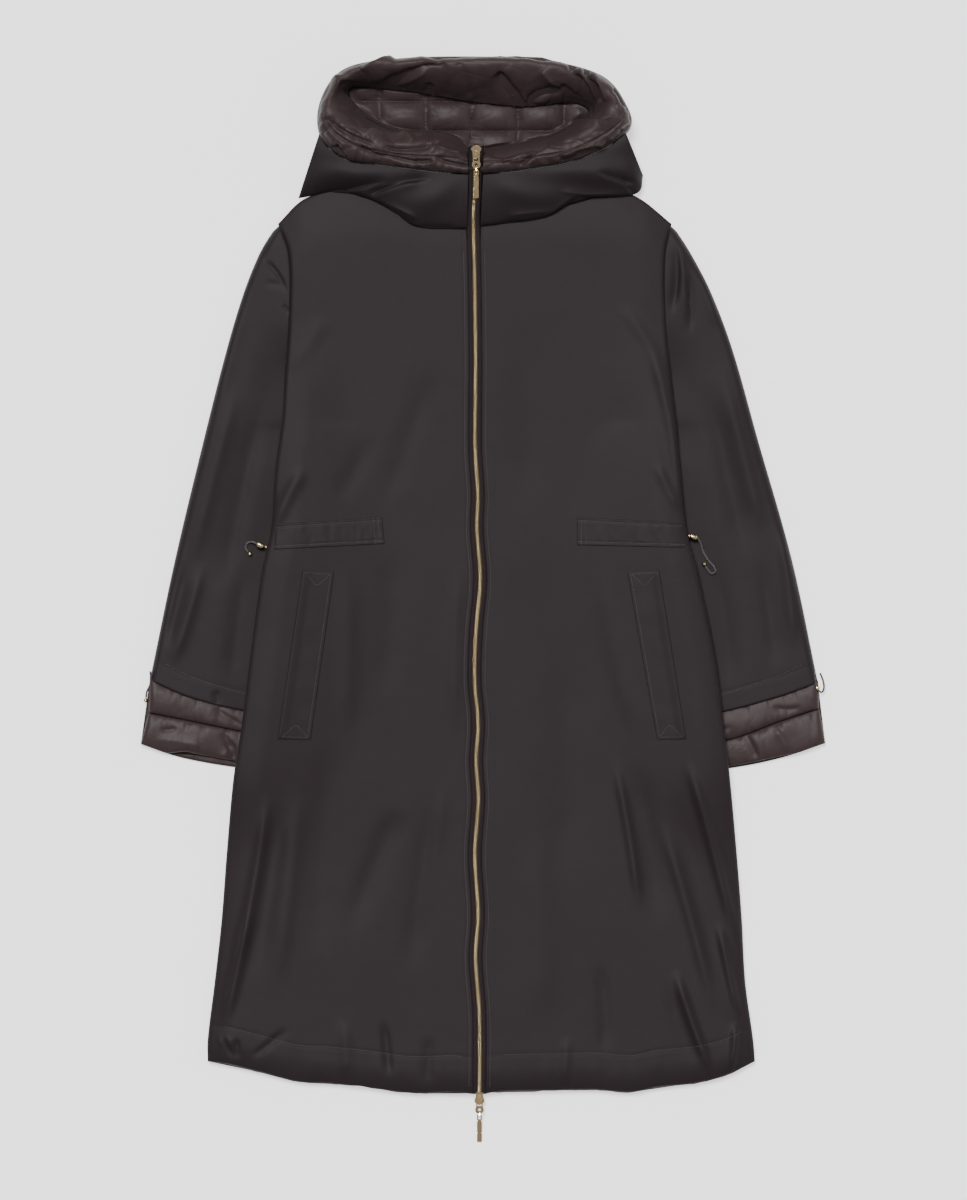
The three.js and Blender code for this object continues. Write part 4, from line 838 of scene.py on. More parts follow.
# Cuffs: two puffed tiers of the shiny nylon lining that stand out of each sleeve, on a flat back
# piece. The tiers are gathered at their seams, which leaves short puckers that run across them.
cuff_high, cuff_wide, cuff_deep, arm_wall = 14.0, 165.0, 70.0, 0.42
cuff_lip = {"left": 8.0, "right": 2.5}
cuff_creases = {
    "left": [
        (-300, -150, -290, -165, -291, -180, -2.4, 3.5, 0.5),
        (-291, -160, -283, -172, -286, -186, -2.6, 3, 0.5),
        (-303, -184, -294, -176, -292, -168, 2.0, 4, 0), (-310, -122, -296, -134, -272, -146, -1.6, 4, 0.4),
        (-372, -148, -362, -152, -352, -146, -2.0, 3, 0), (-384, -160, -350, -160, -320, -170, 1.6, 8, 0.2),
    ],
    "right": [
        (238, -165, 250, -172, 262, -190, -2.4, 4, 0.5), (262, -162, 275, -176, 280, -190, 2.0, 5, 0.3),
        (300, -150, 312, -166, 318, -186, -2.4, 4, 0.5), (335, -146, 348, -160, 352, -176, 2.0, 5, 0.3),
        (240, -146, 262, -150, 290, -146, -1.8, 4, 0.4), (330, -122, 350, -128, 368, -122, -1.6, 4, 0.4),
    ],
}


def gathers(along, away, pitch, reach, seed):
    """Short puckers that run away from a seam: random heights that change quickly along the seam
    and slowly away from it, and fade with the distance."""
    wave = uneven(along + 0.25 * away * uneven(along, away, 40, seed + 7), 0.22 * away, pitch, seed)
    fine = uneven(along, 0.3 * away, pitch * 0.45, seed + 1)
    return (wave + 0.5 * fine) * np.exp(-np.maximum(away, 0) / reach)


def lining_material(name, dark, light):
    """Shiny brown nylon over padding: smooth cloth with a fine weave and small crinkles, whose
    colour is a little lighter and redder in patches."""
    material, tree, shader, place = start_material(name, 0.46, Sheen_Weight=0.02, Specular_IOR_Level=0.17)
    amount = use_group(tree, patches, Vector=place, Size=14.0)["Amount"]
    paint(tree, shader, dark, light, amount)
    shine = maths(tree, "ADD", maths(tree, "MULTIPLY", amount, 0.18), 0.4)
    tree.links.new(shine, shader.inputs["Roughness"])
    crinkle = noise(tree, place, 34.0, 3.0, 0.5)
    folded = maths(tree, "ABSOLUTE", maths(tree, "SUBTRACT", crinkle, 0.5))
    threads = use_group(tree, weave, Vector=place, Threads=420.0)["Height"]
    height = maths(tree, "ADD", maths(tree, "MULTIPLY", threads, 0.02), folded)
    add_bump(tree, shader, height, 0.0022, 0.5)
    return material


lining = lining_material("nylon_lining", (0.0245, 0.0148, 0.0156), (0.038, 0.0245, 0.025))
for side in sign:
    hem, tier, end = [line_of(arm_lines[name], side) for name in ("hem", "tier", "end")]
    us = fine_steps(96, cuff_wide)
    plan_of = {
        "upper": (hem, tier, -0.12, 0.995),
        "lower": (tier, end, 0.005, 1.0),
    }
    for name, (start, stop, first, last) in plan_of.items():
        vs = first + (last - first) * fine_steps(34, 36, near=(0.0, 0.3, 0.8, 1.6, 2.6))
        a, b = start(us)[None], stop(us)[None]
        if name == "lower":
            lip = cuff_lip[side] * ease(us, 0.18, 0.36) * (1 - 0.4 * ease(us, 0.5, 1))
            b = b - unit(b - a) * lip[None, :, None]
        plan = a + vs[:, None, None] * (b - a)
        x, y = plan[..., 0], plan[..., 1]
        share = (vs[:, None] - first) / (last - first)
        deep = np.linalg.norm(b - a, axis=-1)
        full = arm_high(side, x, y) * cuff_high / sleeve_high
        along = us[None] * cuff_wide
        puff = np.sqrt(np.maximum(1 - (2 * share - 1) ** 2, 0)) ** 0.6
        seed = 21 if name == "upper" else 31
        folds = -3.2 * np.maximum(gathers(along, share * deep, 9, 6, seed), 0)
        folds = folds - 2.0 * np.maximum(gathers(along, (1 - share) * deep, 9, 8, seed + 3), 0)
        folds = folds + 1.1 * uneven(x, y, 34, seed + 5) + creases(x, y, cuff_creases[side], 1.3)
        calm = np.clip(full / cuff_high, 0, 1) * np.clip(puff * 1.5, 0, 1)
        base = arm_wall * full + seam
        roll = 0.25 + 0.75 * rolled(along, 8)
        swell = (1 - arm_wall) * full * (0.35 + 0.65 * puff) * roll + folds * calm
        under = base + 0.05
        top = raised(plan, np.maximum(base + swell * (puff > 0), under))
        points, faces = closed_panel(top, raised(plan, under), kept_columns(len(us), 20))
        tier_piece = make_piece(
            f"cuff_{side}_{name}_puff", points, faces, lining, stands_for=[f"cuff_{side}_{name}"])
        face_out(tier_piece)
    vs = fine_steps(40, cuff_deep)
    a, b = hem(us)[None], end(us)[None]
    plan = a + vs[:, None, None] * (b - a)
    full = arm_high(side, plan[..., 0], plan[..., 1]) * cuff_high / sleeve_high
    along = us[None] * cuff_wide
    roll = rolled(along, 5) * rolled((1 - vs[:, None]) * cuff_deep, 3)
    flat_back = 0.8 * arm_wall * full + 0.7 * uneven(along, 0.3 * plan[..., 1], 9, 37)
    top = raised(plan, flat_back * (0.5 + 0.5 * roll))
    under = raised(plan, flat_back * (0.5 - 0.5 * roll))
    points, faces = closed_panel(top, under, np.arange(len(us)))
    cuff_back = make_piece(
        f"cuff_{side}_back_pad", points, faces, lining, stands_for=[f"cuff_{side}_back"])
    face_out(cuff_back)

# Hood: a wide padded facing of the shiny lining goes round the hollow from the zip to the zip. It
# is smooth over the crown and puckered along the seam that joins it to the shell.
ring_rows = table("in_x in_y crest_x crest_y out_x out_y crest outer", [
    (-17, 521, -17, 508, -17, 489, 48, 42), (-41, 538, -42, 518, -49, 491, 50, 42),
    (-92, 541, -101, 521, -107, 498, 54, 40), (-130, 556, -144, 538, -155, 505, 58, 38),
    (-153, 577, -171, 562, -187, 532, 60, 38), (-150, 590, -168, 585, -187, 574, 60, 34),
    (-120, 588, -143, 605, -160, 610, 60, 30), (-80, 584, -92, 611, -100, 622, 60, 30),
    (-15, 573, -15, 611, -15, 624.3, 62, 30), (49, 567, 60, 609, 70, 620, 60, 30),
    (100, 572, 120, 595, 134, 604, 62, 30), (122, 562, 147, 574, 162, 574, 62, 34),
    (104, 549, 138, 550, 168, 540, 60, 38), (68, 532, 95, 524, 116, 508, 56, 40),
    (28, 524, 40, 512, 50, 494, 50, 42), (0, 519, 0, 507, 0, 489, 48, 42),
])
ring_rows["s"] = np.linspace(0, 1, len(ring_rows["crest"]))
ring = {name: column(ring_rows, "s", name) for name in ring_rows if name != "s"}
inner_high, facing_wall = 20.0, 11.0
bowl_x, bowl_y, bowl_floor = -6.0, 551.0, 8.0


def facing_point(s, t):
    """A point over the facing: s runs round the hood and t from the inner seam (0) over the crest
    to the outer seam (1). In plan it is a quadratic curve through the crest, and in height a line
    between the two seams with a rounded swell on it."""
    r = {name: read(s) for name, read in ring.items()}
    a, b, c = (1 - t) ** 2, 2 * t * (1 - t), t * t
    x = a * r["in_x"] + b * (2 * r["crest_x"] - (r["in_x"] + r["out_x"]) / 2) + c * r["out_x"]
    y = a * r["in_y"] + b * (2 * r["crest_y"] - (r["in_y"] + r["out_y"]) / 2) + c * r["out_y"]
    base = inner_high + (r["outer"] - inner_high) * t
    full = np.sin(np.pi * t) ** np.where(np.asarray(t) < 0.5, 0.8, 0.45)
    swell = (r["crest"] - (inner_high + r["outer"]) / 2) * full
    return np.stack(np.broadcast_arrays(x, y, base + swell), -1)


def facing_thick(t):
    """Thickness of the facing across it: thin at both seams and full between them."""
    return 3 + 2 * t + (facing_wall - 4) * np.sin(np.pi * t)


def outward(points):
    """Unit directions out of a grid of points: the cross product of its two slopes, turned up."""
    normal = unit(np.cross(np.gradient(points, axis=0), np.gradient(points, axis=1)))
    return normal * np.where(normal[..., 2:] < 0, -1, 1)


facing_creases = np.array([
    (-164, 595, -143, 578, -100, 598, -6.0, 5, 0.5), (-116, 592, -72, 607, -45, 622, -4.5, 9, 0.45),
    (-140, 607, -128, 616, -100, 622, 3.5, 6, 0), (-137, 581, -100, 585, -60, 607, 3.5, 7, 0),
    (-63, 569, -65, 579, -60, 592, -3.2, 4, 0), (-29, 619, -19, 598, -14, 575, -1.5, 8, 0),
    (18, 605, 32, 585, 49, 570, -4.8, 6, 0.5), (51, 569, 66, 581, 91, 582, -3.8, 5, -0.5),
    (32, 575, 42, 581, 50, 571, 2.4, 4, 0), (52, 567, 82, 570, 125, 556, -3.6, 4.5, 0.5),
    (89, 590, 106, 572, 128, 563, -4.0, 4.5, 0.5), (102, 618, 114, 592, 128, 565, -5.0, 4.5, 0.6),
    (109, 612, 122, 589, 132, 565, 0.7, 4, 0), (119, 612, 129, 589, 137, 569, -5.0, 4, 0.6),
    (129, 601, 136, 585, 140, 570, 0.7, 4, 0), (66, 607, 75, 593, 97, 578, 2.6, 6, 0),
    (152, 590, 165, 581, 168, 567, -2.6, 3.5, 0.5), (-168, 604, -166, 585, -143, 567, 3.0, 8, 0),
    (-153, 595, -153, 582, -140, 572, -3.6, 5, 0), (-182, 555, -159, 533, -125, 524, -2.0, 3.5, 0.5),
    (-137, 542, -100, 532, -60, 535, 3.0, 6, 0), (-112, 522, -79, 515, -48, 529, -2.8, 5, 0.5),
    (-63, 527, -48, 516, -23, 512, 3.0, 5, 0), (-140, 521, -128, 508, -97, 504, -3.2, 4, 0.5),
    (-116, 508, -85, 496, -57, 502, -3.2, 4, -0.5), (-168, 522, -162, 508, -153, 502, -3.2, 4, 0.5),
    (-54, 508, -35, 499, -16, 499, -2.8, 4, 0.4), (-97, 539, -85, 532, -80, 527, 2.2, 4, 0),
    (74, 528, 60, 518, 42, 493, -3.8, 4.5, 0.5), (66, 530, 48, 518, 5, 515, -3.2, 5, -0.4),
    (63, 521, 51, 508, 29, 502, 3.0, 5, 0), (20, 504, 38, 508, 52, 515, -2.5, 4, 0),
    (88, 502, 115, 512, 140, 513, -2.8, 4, 0.5), (97, 552, 115, 545, 152, 555, 2.2, 8, 0),
    (88, 508, 109, 519, 143, 522, 2.6, 5, 0), (137, 515, 156, 522, 166, 538, -2.2, 3.5, 0),
])
# a line of stitching runs round the facing, this far inside its outer seam
channel = 21.0
# crisp cloth makes every crease narrower than the width in its row
crisp = np.array([1, 1, 1, 1, 1, 1, 1, 0.72, 1])


def crinkles(x, y, size, seed):
    """Crisp small folds of thin nylon: each is a narrow ridge where soft random heights, bent by
    others, pass through zero."""
    bend = 0.5 * size * uneven(x, y, 1.8 * size, seed + 3)
    first = 1 - np.abs(uneven(x + bend, 1.5 * (y - bend), size, seed)) * 2.2
    second = 1 - np.abs(uneven(1.4 * (x - bend), y + bend, 0.6 * size, seed + 1)) * 2.2
    return np.maximum(first, 0) ** 2 + 0.5 * np.maximum(second, 0) ** 2


facing_s = np.linspace(0, 1, 620)[:, None]
facing_t = fine_steps(76, 75, near=(0.0, 0.3, 0.8, 1.6, 2.6))[None]
base = facing_point(facing_s, facing_t)
x, y = base[..., 0], base[..., 1]
across = np.linalg.norm(np.diff(base, axis=1), axis=-1).sum(1)[:, None]
middle_line = base[:, facing_t.shape[1] // 2]
around = np.concatenate([[0], np.cumsum(np.linalg.norm(np.diff(middle_line, axis=0), axis=1))])[:, None]
from_inner, from_outer = facing_t * across, (1 - facing_t) * across
near_front = 1 - ease(y, 540, 575)
relief = 3.0 * gathers(around, from_outer, 15, 15, 41) * (0.2 + 0.8 * near_front)
relief = relief + 1.6 * gathers(around, from_inner, 18, 14, 51)
relief = relief + 1.6 * uneven(x, y, 34, 61) + 0.7 * uneven(x, y, 15, 62)
relief = relief + 1.7 * creases(x, y, facing_creases * crisp, 1.15, 0.14)
relief = relief - (0.4 + 0.9 * near_front) * crinkles(x, y, 40, 64)
seam_dent = stitch_dent(from_outer - channel, 1, 2.4) * near_front
relief = relief - 2.2 * seam_dent * (1 + 0.6 * uneven(around, from_outer, 12, 65))
edge_roll_facing = rolled(from_inner, 3) * rolled(from_outer, 3.5)
top = base + outward(base) * ((relief - 1.5) * edge_roll_facing)[..., None]
thick = facing_thick(facing_t)
top[..., 2] -= 0.6 * thick * (1 - edge_roll_facing)
under = base.copy()
under[..., 2] -= thick
points, faces = closed_panel(top, under, kept_columns(facing_t.shape[1], 10))
facing = make_piece("hood_facing_pad", points, faces, lining, stands_for=["hood_facing"])
face_out(facing)


# The bowl of the hood: the same lining, quilted in squares over padding, sewn to the facing's
# inner seam. Its seams pull the cloth down and pucker it.
def bowl_grid(ts, count):
    """Plan of the bowl: rings of points from its middle out to the facing's inner seam."""
    s = np.linspace(0, 1, count, endpoint=False)[None]
    t = ts[:, None]
    return bowl_x + t * (ring["in_x"](s) - bowl_x), bowl_y + t * (ring["in_y"](s) - bowl_y)


def closed_dome(upper, lower):
    """Points and faces of a closed dish: rings above and below, each closed over its own middle.
    The last ring of each is its rim."""
    count = upper.shape[1]
    points = np.vstack([upper.reshape(-1, 3), lower.reshape(-1, 3), upper[0].mean(0), lower[0].mean(0)])
    low = len(upper) * count
    turn, after = np.arange(count), np.roll(np.arange(count), -1)
    faces = grid_faces(len(upper), count, wrap=True).tolist()
    faces += (low + grid_faces(len(lower), count, wrap=True)[:, ::-1]).tolist()
    faces += np.stack([after, turn, np.full(count, len(points) - 2)], -1).tolist()
    faces += np.stack([low + turn, low + after, np.full(count, len(points) - 1)], -1).tolist()
    rim_up, rim_low = (len(upper) - 1) * count, low + (len(lower) - 1) * count
    faces += np.stack([rim_up + turn, rim_up + after, rim_low + after, rim_low + turn], -1).tolist()
    return points, faces


quilt_across, quilt_along, quilt_x, quilt_y = 53.0, 34.0, -13.0, 540.0
lining_t = np.concatenate([np.linspace(0.03, 0.97, 62), [0.985, 1.0]])
x, y = bowl_grid(lining_t, 230)
a = np.abs(np.sin(np.pi * (x - quilt_x) / quilt_across))
b = np.abs(np.sin(np.pi * (y - quilt_y) / quilt_along))
to_seam_x = np.arcsin(np.clip(a, 0, 1)) * quilt_across / np.pi
to_seam_y = np.arcsin(np.clip(b, 0, 1)) * quilt_along / np.pi
swell = bowl_floor + seam + 2.6 + 9 * (a * b) ** 0.5
pulled = -1.6 * np.maximum(gathers(y, to_seam_x, 11, 7, 71), 0)
pulled = pulled - 1.6 * np.maximum(gathers(x, to_seam_y, 11, 7, 72), 0) - 0.35 * crinkles(x, y, 34, 73)
rim_high = 16.0
blend = ease(lining_t[:, None], 0.9, 1.0)
high = (swell + pulled) * (1 - blend) + rim_high * blend
upper = np.stack([x, y, high], -1)
lower = np.stack([x[-1:], y[-1:], np.full_like(x[-1:], bowl_floor + seam)], -1)
points, faces = closed_dome(upper, lower)
bowl = make_piece("hood_lining_quilt", points, faces, lining, stands_for=["hood_lining"])
face_out(bowl)


# The hood's outer back: matte shell that is folded under the facing. It lies flat below the bowl,
# and its side slopes in a little from the facing's outer seam down to the surface.
under_gap, rim_share, foot_inset, foot_high, side_inset = 0.5, 0.985, 0.97, 5.0, 0.012
back_s = np.linspace(0, 1, 200)


def about_bowl(points, share):
    """A ring of points whose plan is drawn in towards the middle of the bowl by a share."""
    drawn = points.copy()
    drawn[:, :2] = (drawn[:, :2] - (bowl_x, bowl_y)) * share + (bowl_x, bowl_y)
    return drawn


facing_under = [facing_point(back_s, t) - np.array([0, 0, 1]) * (facing_thick(t) + under_gap)
                for t in np.linspace(0, 1, 12)]
bowl_rim = np.stack([bowl_x + rim_share * (ring["in_x"](back_s) - bowl_x),
                     bowl_y + rim_share * (ring["in_y"](back_s) - bowl_y),
                     np.full_like(back_s, bowl_floor)], -1)
hood_edge = facing_under[-1]
hood_side = []
for down in (0.25, 0.5, 0.75, 0.9):
    side_ring = about_bowl(hood_edge, 1 / (1 + side_inset * np.sin(np.pi * down)))
    side_ring[:, 2] = hood_edge[:, 2] + (foot_high - hood_edge[:, 2]) * down
    hood_side.append(side_ring)
foot_edge = hood_edge.copy()
foot_edge[:, 2] = foot_high
foot = about_bowl(hood_edge, foot_inset)
foot[:, 2] = 0
points, faces = closed_dome(np.array([bowl_rim, *facing_under, *hood_side, foot_edge]), foot[None])
hood_back = make_piece("hood_back_cloth", points, faces, shell, stands_for=["hood_back"])
face_out(hood_back)

# Cowl: the matte shell of the hood's front, folded down over the shoulders from its seam under the
# facing to a folded lower edge, with a wing at each end.
cowl_wall = 4.0
cowl_span = {"left": (10 / 36, 0.0), "right": (29 / 36, 1.0)}
cowl_rows = table("t left left_y right right_y", [
    (0.0, -212.5, 462, 184.5, 488), (0.22, -163, 470, 175, 467), (0.45, -116, 455, 112, 461),
    (0.7, -77, 430, 68, 440), (1.0, -18, 427, -3, 430),
])
cowl_creases = {
    "left": np.array([
        (-210, 459, -153, 471, -109, 482, -3.4, 5, -0.6), (-134, 462, -109, 478, -57, 485, -3.6, 5.5, -0.6),
        (-156, 468, -122, 459, -77, 431, -3.4, 4.5, 0.6), (-128, 471, -100, 481, -72, 478, 2.6, 7, 0),
        (-122, 459, -91, 447, -72, 436, 2.6, 6, 0), (-77, 431, -57, 428, -29, 429, -2.0, 3.5, 0),
    ]),
    "right": np.array([
        (131, 492, 156, 481, 177, 478, -2.8, 4.5, -0.5), (109, 467, 91, 456, 66, 431, 2.6, 6, 0),
        (66, 431, 42, 435, 14, 433, -2.4, 4, 0), (88, 471, 109, 462, 165, 468, 2.4, 6, 0),
        (26, 441, 51, 444, 82, 447, 2.2, 7, 0),
    ]),
}
for side in sign:
    us = fine_steps(130, 220)[None]
    vs = fine_steps(72, 80)[:, None]
    start, stop = cowl_span[side]
    under_seam = facing_point(start + (stop - start) * us, 1.0)[0]
    away = under_seam[:, :2] - (bowl_x, bowl_y)
    drawn_out = 1 - 3 * (1 - ease(us[0], 0, 0.15))
    under_seam[:, :2] += away / np.linalg.norm(away, axis=1, keepdims=True) * drawn_out[:, None]
    fold_edge = line_of(cowl_rows, side)(us[0])
    plan = under_seam[None, :, :2] + vs[..., None] * (fold_edge - under_seam[:, :2])[None]
    x, y = plan[..., 0], plan[..., 1]
    foot_at = front_top(side, fold_edge[:, 0], fold_edge[:, 1]) + cowl_wall + 2
    calm = 1 - ease(us, 0.75, 1)
    swell = (2.0 + 1.4 * np.cos(2 * np.pi * (2 * us + vs))) * np.sin(np.pi * vs) * calm
    top = (under_seam[:, 2] - 1)[None] * (1 - vs**2) + foot_at[None] * vs**2 + swell
    top = top + 1.25 * creases(x, y, cowl_creases[side] * crisp, 1.15) + 0.4 * uneven(x, y, 34, 81)
    deep = np.linalg.norm(fold_edge - under_seam[:, :2], axis=1)[None]
    roll = rolled((1 - vs) * deep, 4) * rolled(us * 200, 4)
    under = raised(plan, top - cowl_wall)
    top = raised(plan, top - 0.75 * cowl_wall * (1 - roll))
    points, faces = closed_panel(top, under, kept_columns(us.shape[1], 16))
    cowl = make_piece(f"cowl_{side}_cloth", points, faces, shell, stands_for=[f"cowl_{side}"])
    face_out(cowl)

# Zip: two woven tapes between the fronts, with a closed chain of gold metal teeth that wanders a
# little from side to side. It rises over the cowl and goes down over the hem.
tape_in, tape_out, tooth_pitch = 2.9, 8.4, 2.2
top_slope, hem_slope = 0.26, 0.277
zip_high = table("y z", [
    *((y, 46.3 + (y - 514) * top_slope) for y in (524, 500, 476, 460, 440, 420)),
    (400, 20), (380, 19.6), (0, 19.6), (-530, 19.6),
    *((y, 12 + (y + 572) * hem_slope) for y in (-546, -558, -572, -580)),
])
zip_z = column(zip_high, "y", "z")


def tape_material():
    """Woven tape: narrow ribs along the zip, nearly black, painted darker between the ribs as painted shade.
    """
    material, tree, shader, place = start_material("zip_tape_weave", 0.85, Specular_IOR_Level=0.1)
    ribs = waves(tree, place, 420.0)
    # painted shade: the colour follows the ribs' height, darker in the grooves between them
    paint(tree, shader, (0.016, 0.011, 0.0122), (0.034, 0.025, 0.027), ribs)
    add_bump(tree, shader, ribs, 0.0003)
    return material


def zip_line(ys):
    """The zip's middle line at places along the coat."""
    return np.stack([zip_x(ys), ys, zip_z(ys)], -1)


def beside(line, away):
    """A grid in plan: at each point of a line, the places at some distances to its right."""
    return np.stack(np.broadcast_arrays(line[:, None, 0] + away, line[:, None, 1]), -1)


tape = tape_material()
tape_ys = np.linspace(521, -568.5, 420)
# at the neck the tape's outer edge turns down into the cowl's seam: distance from the chain, height
seam_edge = np.array([(6.2, -0.8), (7.3, -1.4), (7.5, -4.4), (9.5, -5.6), (14, -6.4), (22, -11), (28, -20)])
for side in sign:
    line = zip_line(tape_ys)
    plan = beside(line, np.array([0.1, tape_in - 0.6, tape_in, 4.0, 5.5, tape_out]) * sign[side])
    top = raised(plan, line[:, None, 2] + np.array([-1.6, -1.6, 0.0, 0.3, 0.3, -0.4]))
    under = raised(plan, line[:, None, 2] - 2.1)
    points, faces = closed_panel(top, under, [0, 2, 3, 5])
    piece = make_piece(f"tape_{side}_woven", points, faces, tape, stands_for=[f"zip_tape_{side}"])
    face_out(piece)
    line = zip_line(np.linspace(500, 458, 24))
    plan = beside(line, seam_edge[:, 0] * sign[side])
    top = raised(plan, line[:, None, 2] + seam_edge[:, 1])
    points, faces = closed_panel(top, top - np.array([0, 0, 0.6]), np.arange(len(seam_edge)))
    piece = make_piece(f"tape_{side}_seam_edge", points, faces, tape)
    face_out(piece)

# a tooth lies across the zip: rows are its outline in plan from its foot on the tape to its head
tooth_rows = np.array([(2.9, 0.4), (1.3, 0.4), (0.6, 0.34), (-0.6, 0.44), (-1.1, 0.25)])
tooth_levels = np.array([(-1.4, 0.8), (-0.9, 1.0), (0.9, 1.0), (1.4, 0.72)])


def one_tooth():
    """A tooth as four levels of one outline, each drawn in by its own share, closed above and below."""
    outline = np.vstack([tooth_rows, tooth_rows[::-1] * (1, -1)])
    centre = outline.mean(0)
    levels = [np.column_stack([centre + (outline - centre) * share, np.full(len(outline), z)])
              for z, share in tooth_levels]
    count = len(outline)
    faces = grid_faces(len(levels), count, wrap=True).tolist()
    faces += [list(range(count))[::-1], list(range((len(levels) - 1) * count, len(levels) * count))]
    return np.vstack(levels), faces


chain_start, chain_end = 509.5, -567
tooth, tooth_faces = one_tooth()
for turn, side in enumerate(sign):
    line = zip_line(np.arange(chain_start - turn * tooth_pitch / 2, chain_end, -tooth_pitch))
    ahead = unit(np.gradient(line, axis=0))
    level = unit(np.cross(ahead, (0, 0, 1))) * -sign[side]
    up = unit(np.cross(level, ahead) * sign[side])
    up = up * np.sign(up[:, 2:])
    points = (line[:, None] + tooth[None, :, :1] * -level[:, None] + tooth[None, :, 1:2] * ahead[:, None]
              + tooth[None, :, 2:] * up[:, None])
    faces = [[n * len(tooth) + k for k in face] for n in range(len(line)) for face in tooth_faces]
    stands_for = ["zip_chain"] if side == "left" else []
    teeth = make_piece(f"teeth_{side}", points, faces, gold, stands_for=stands_for)
    face_out(teeth)


# Sliders and pulls: cast metal with eased edges. Each pull is a flat link with an upright eye and
# a notched bar, and hangs on its slider's bridge.
def eased_copy(name, node, body, edge):
    """A copy of a metal piece with its doubles merged, its flat faces joined and its edges eased."""
    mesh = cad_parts[node].data.copy()
    work = bmesh.new()
    work.from_mesh(mesh)
    bmesh.ops.remove_doubles(work, verts=work.verts, dist=1e-6)
    bmesh.ops.dissolve_limit(work, angle_limit=0.02, verts=work.verts, edges=work.edges)
    work.to_mesh(mesh)
    work.free()
    mesh.materials.clear()
    mesh.materials.append(gold)
    piece = bpy.data.objects.new(name, mesh)
    bpy.context.scene.collection.objects.link(piece)
    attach(piece, body)
    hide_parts(node)
    ease_edges = piece.modifiers.new("eased edges", "BEVEL")
    ease_edges.width = edge * mm
    ease_edges.segments = 3
    ease_edges.limit_method = "ANGLE"
    return piece


for end in ("top", "bottom"):
    eased_copy(f"slider_{end}_cast", f"slider_{end}", "root", 0.5)
    eased_copy(f"pull_link_{end}_cast", f"pull_link_{end}", f"link_{end}", 0.4)
    eased_copy(f"pull_bar_{end}_cast", f"pull_bar_{end}", f"bar_{end}", 0.45)

# Waist casings and pocket welts: strips of the shell sewn on the fronts. A casing holds the
# drawcord, so it is gathered. A welt covers the slanted pocket's mouth.
casings = {
    "left": [(-238, 87), (-116, 95.5), (-113, 64.5), (-240, 58)],
    "right": [(229, 88.5), (108, 95.5), (108, 63), (232, 60)],
}
welts = {
    "left": [(-207, 34.5), (-171, 32), (-198, -161), (-236, -160)],
    "right": [(202.4, 34.5), (165.6, 32), (200, -161), (233.5, -160)],
}
casing_size, welt_size = (126, 32), (35, 194)
strip_foot, strip_gap = 0.3, 0.1


def quad_plan(corners, us, vs):
    """A grid in plan between four corners, by the blend of its two directions."""
    a, b, c, d = np.array(corners, float)
    u, v = us[None, :, None], vs[:, None, None]
    return (1 - u) * (1 - v) * a + u * (1 - v) * b + u * v * c + (1 - u) * v * d


def strip_roll(us, vs, size, radii):
    """How a strip rolls down at its four edges: the product of a quarter circle at each."""
    across, along = us[None] * size[0], vs[:, None] * size[1]
    back_across, back_along = (1 - us[None]) * size[0], (1 - vs[:, None]) * size[1]
    distances = (across, back_across, along, back_along)
    first, second, third, fourth = [rolled(away, radius) for away, radius in zip(distances, radii)]
    return first * second * third * fourth


def strip_on_front(side, us, plan, high):
    """Points and faces of a strip on a front: its top is as high over the cloth as it is given, and
    its underside just clears the cloth."""
    ground = front_top(side, plan[..., 0], plan[..., 1])
    top, under = raised(plan, ground + high), raised(plan, ground + strip_gap)
    return closed_panel(top, under, kept_columns(len(us), 6))


for side in sign:
    us, vs = fine_steps(110, casing_size[0]), fine_steps(30, casing_size[1])
    plan = quad_plan(casings[side], us, vs)
    roll = strip_roll(us, vs, casing_size, (3, 3, 1.6, 1.6))
    ruched = soft_heights(plan[..., 0], plan[..., 1], [(0.7, 0.25, 13, 91), (0.3, 0.4, 6, 92)])
    dents = sum(stitch_dent(vs[:, None] * casing_size[1] - at, 1, 1.2) for at in (4.0, 27.5))
    high = strip_foot + (0.55 + 0.7 * ruched * (1 - 0.8 * dents) - 0.35 * dents) * roll
    points, faces = strip_on_front(side, us, plan, np.maximum(high, strip_foot))
    casing = make_piece(
        f"casing_{side}_cloth", points, faces, shell, stands_for=[f"waist_casing_{side}"])
    face_out(casing)

    us, vs = fine_steps(30, welt_size[0]), fine_steps(110, welt_size[1])
    plan = quad_plan(welts[side], us, vs)
    roll = strip_roll(us, vs, welt_size, (1.5, 1.2, 6, 12))
    lip = 0.9 * (1 - ease(us[None] * welt_size[0], 2, 12))
    high = strip_foot + (0.45 + lip + 0.2 * uneven(plan[..., 0], plan[..., 1], 22, 95)) * roll
    points, faces = strip_on_front(side, us, plan, high)
    welt = make_piece(
        f"welt_{side}_cloth", points, faces, shell, stands_for=[f"pocket_welt_{side}"])
    face_out(welt)

# Stitching: thread a little lighter than the cloth, in runs along the hems, the zip, the casings
# and the pockets, whose ends have a stitched triangle. A stitch's ends dip into the cloth.
stitch_step, stitch_long, thread_half, thread_sides = 3.4, 2.7, 0.28, 6
casing_rise, welt_rise, pocket_run_step = 0.7, 0.95, 3.0


def thread_material():
    """Twisted polyester thread: brown grey with a fine slanted grain, painted darker in the grain's grooves
    as painted shade.
    """
    material, tree, shader, place = start_material("sewing_thread", 0.55, Sheen_Weight=0.1)
    twist = waves(tree, place, 900.0, direction="DIAGONAL")
    # painted shade: the colour follows the twist's height, darker in its grooves
    paint(tree, shader, (0.03, 0.024, 0.025), (0.062, 0.052, 0.054), twist)
    add_bump(tree, shader, twist, 0.0001)
    return material


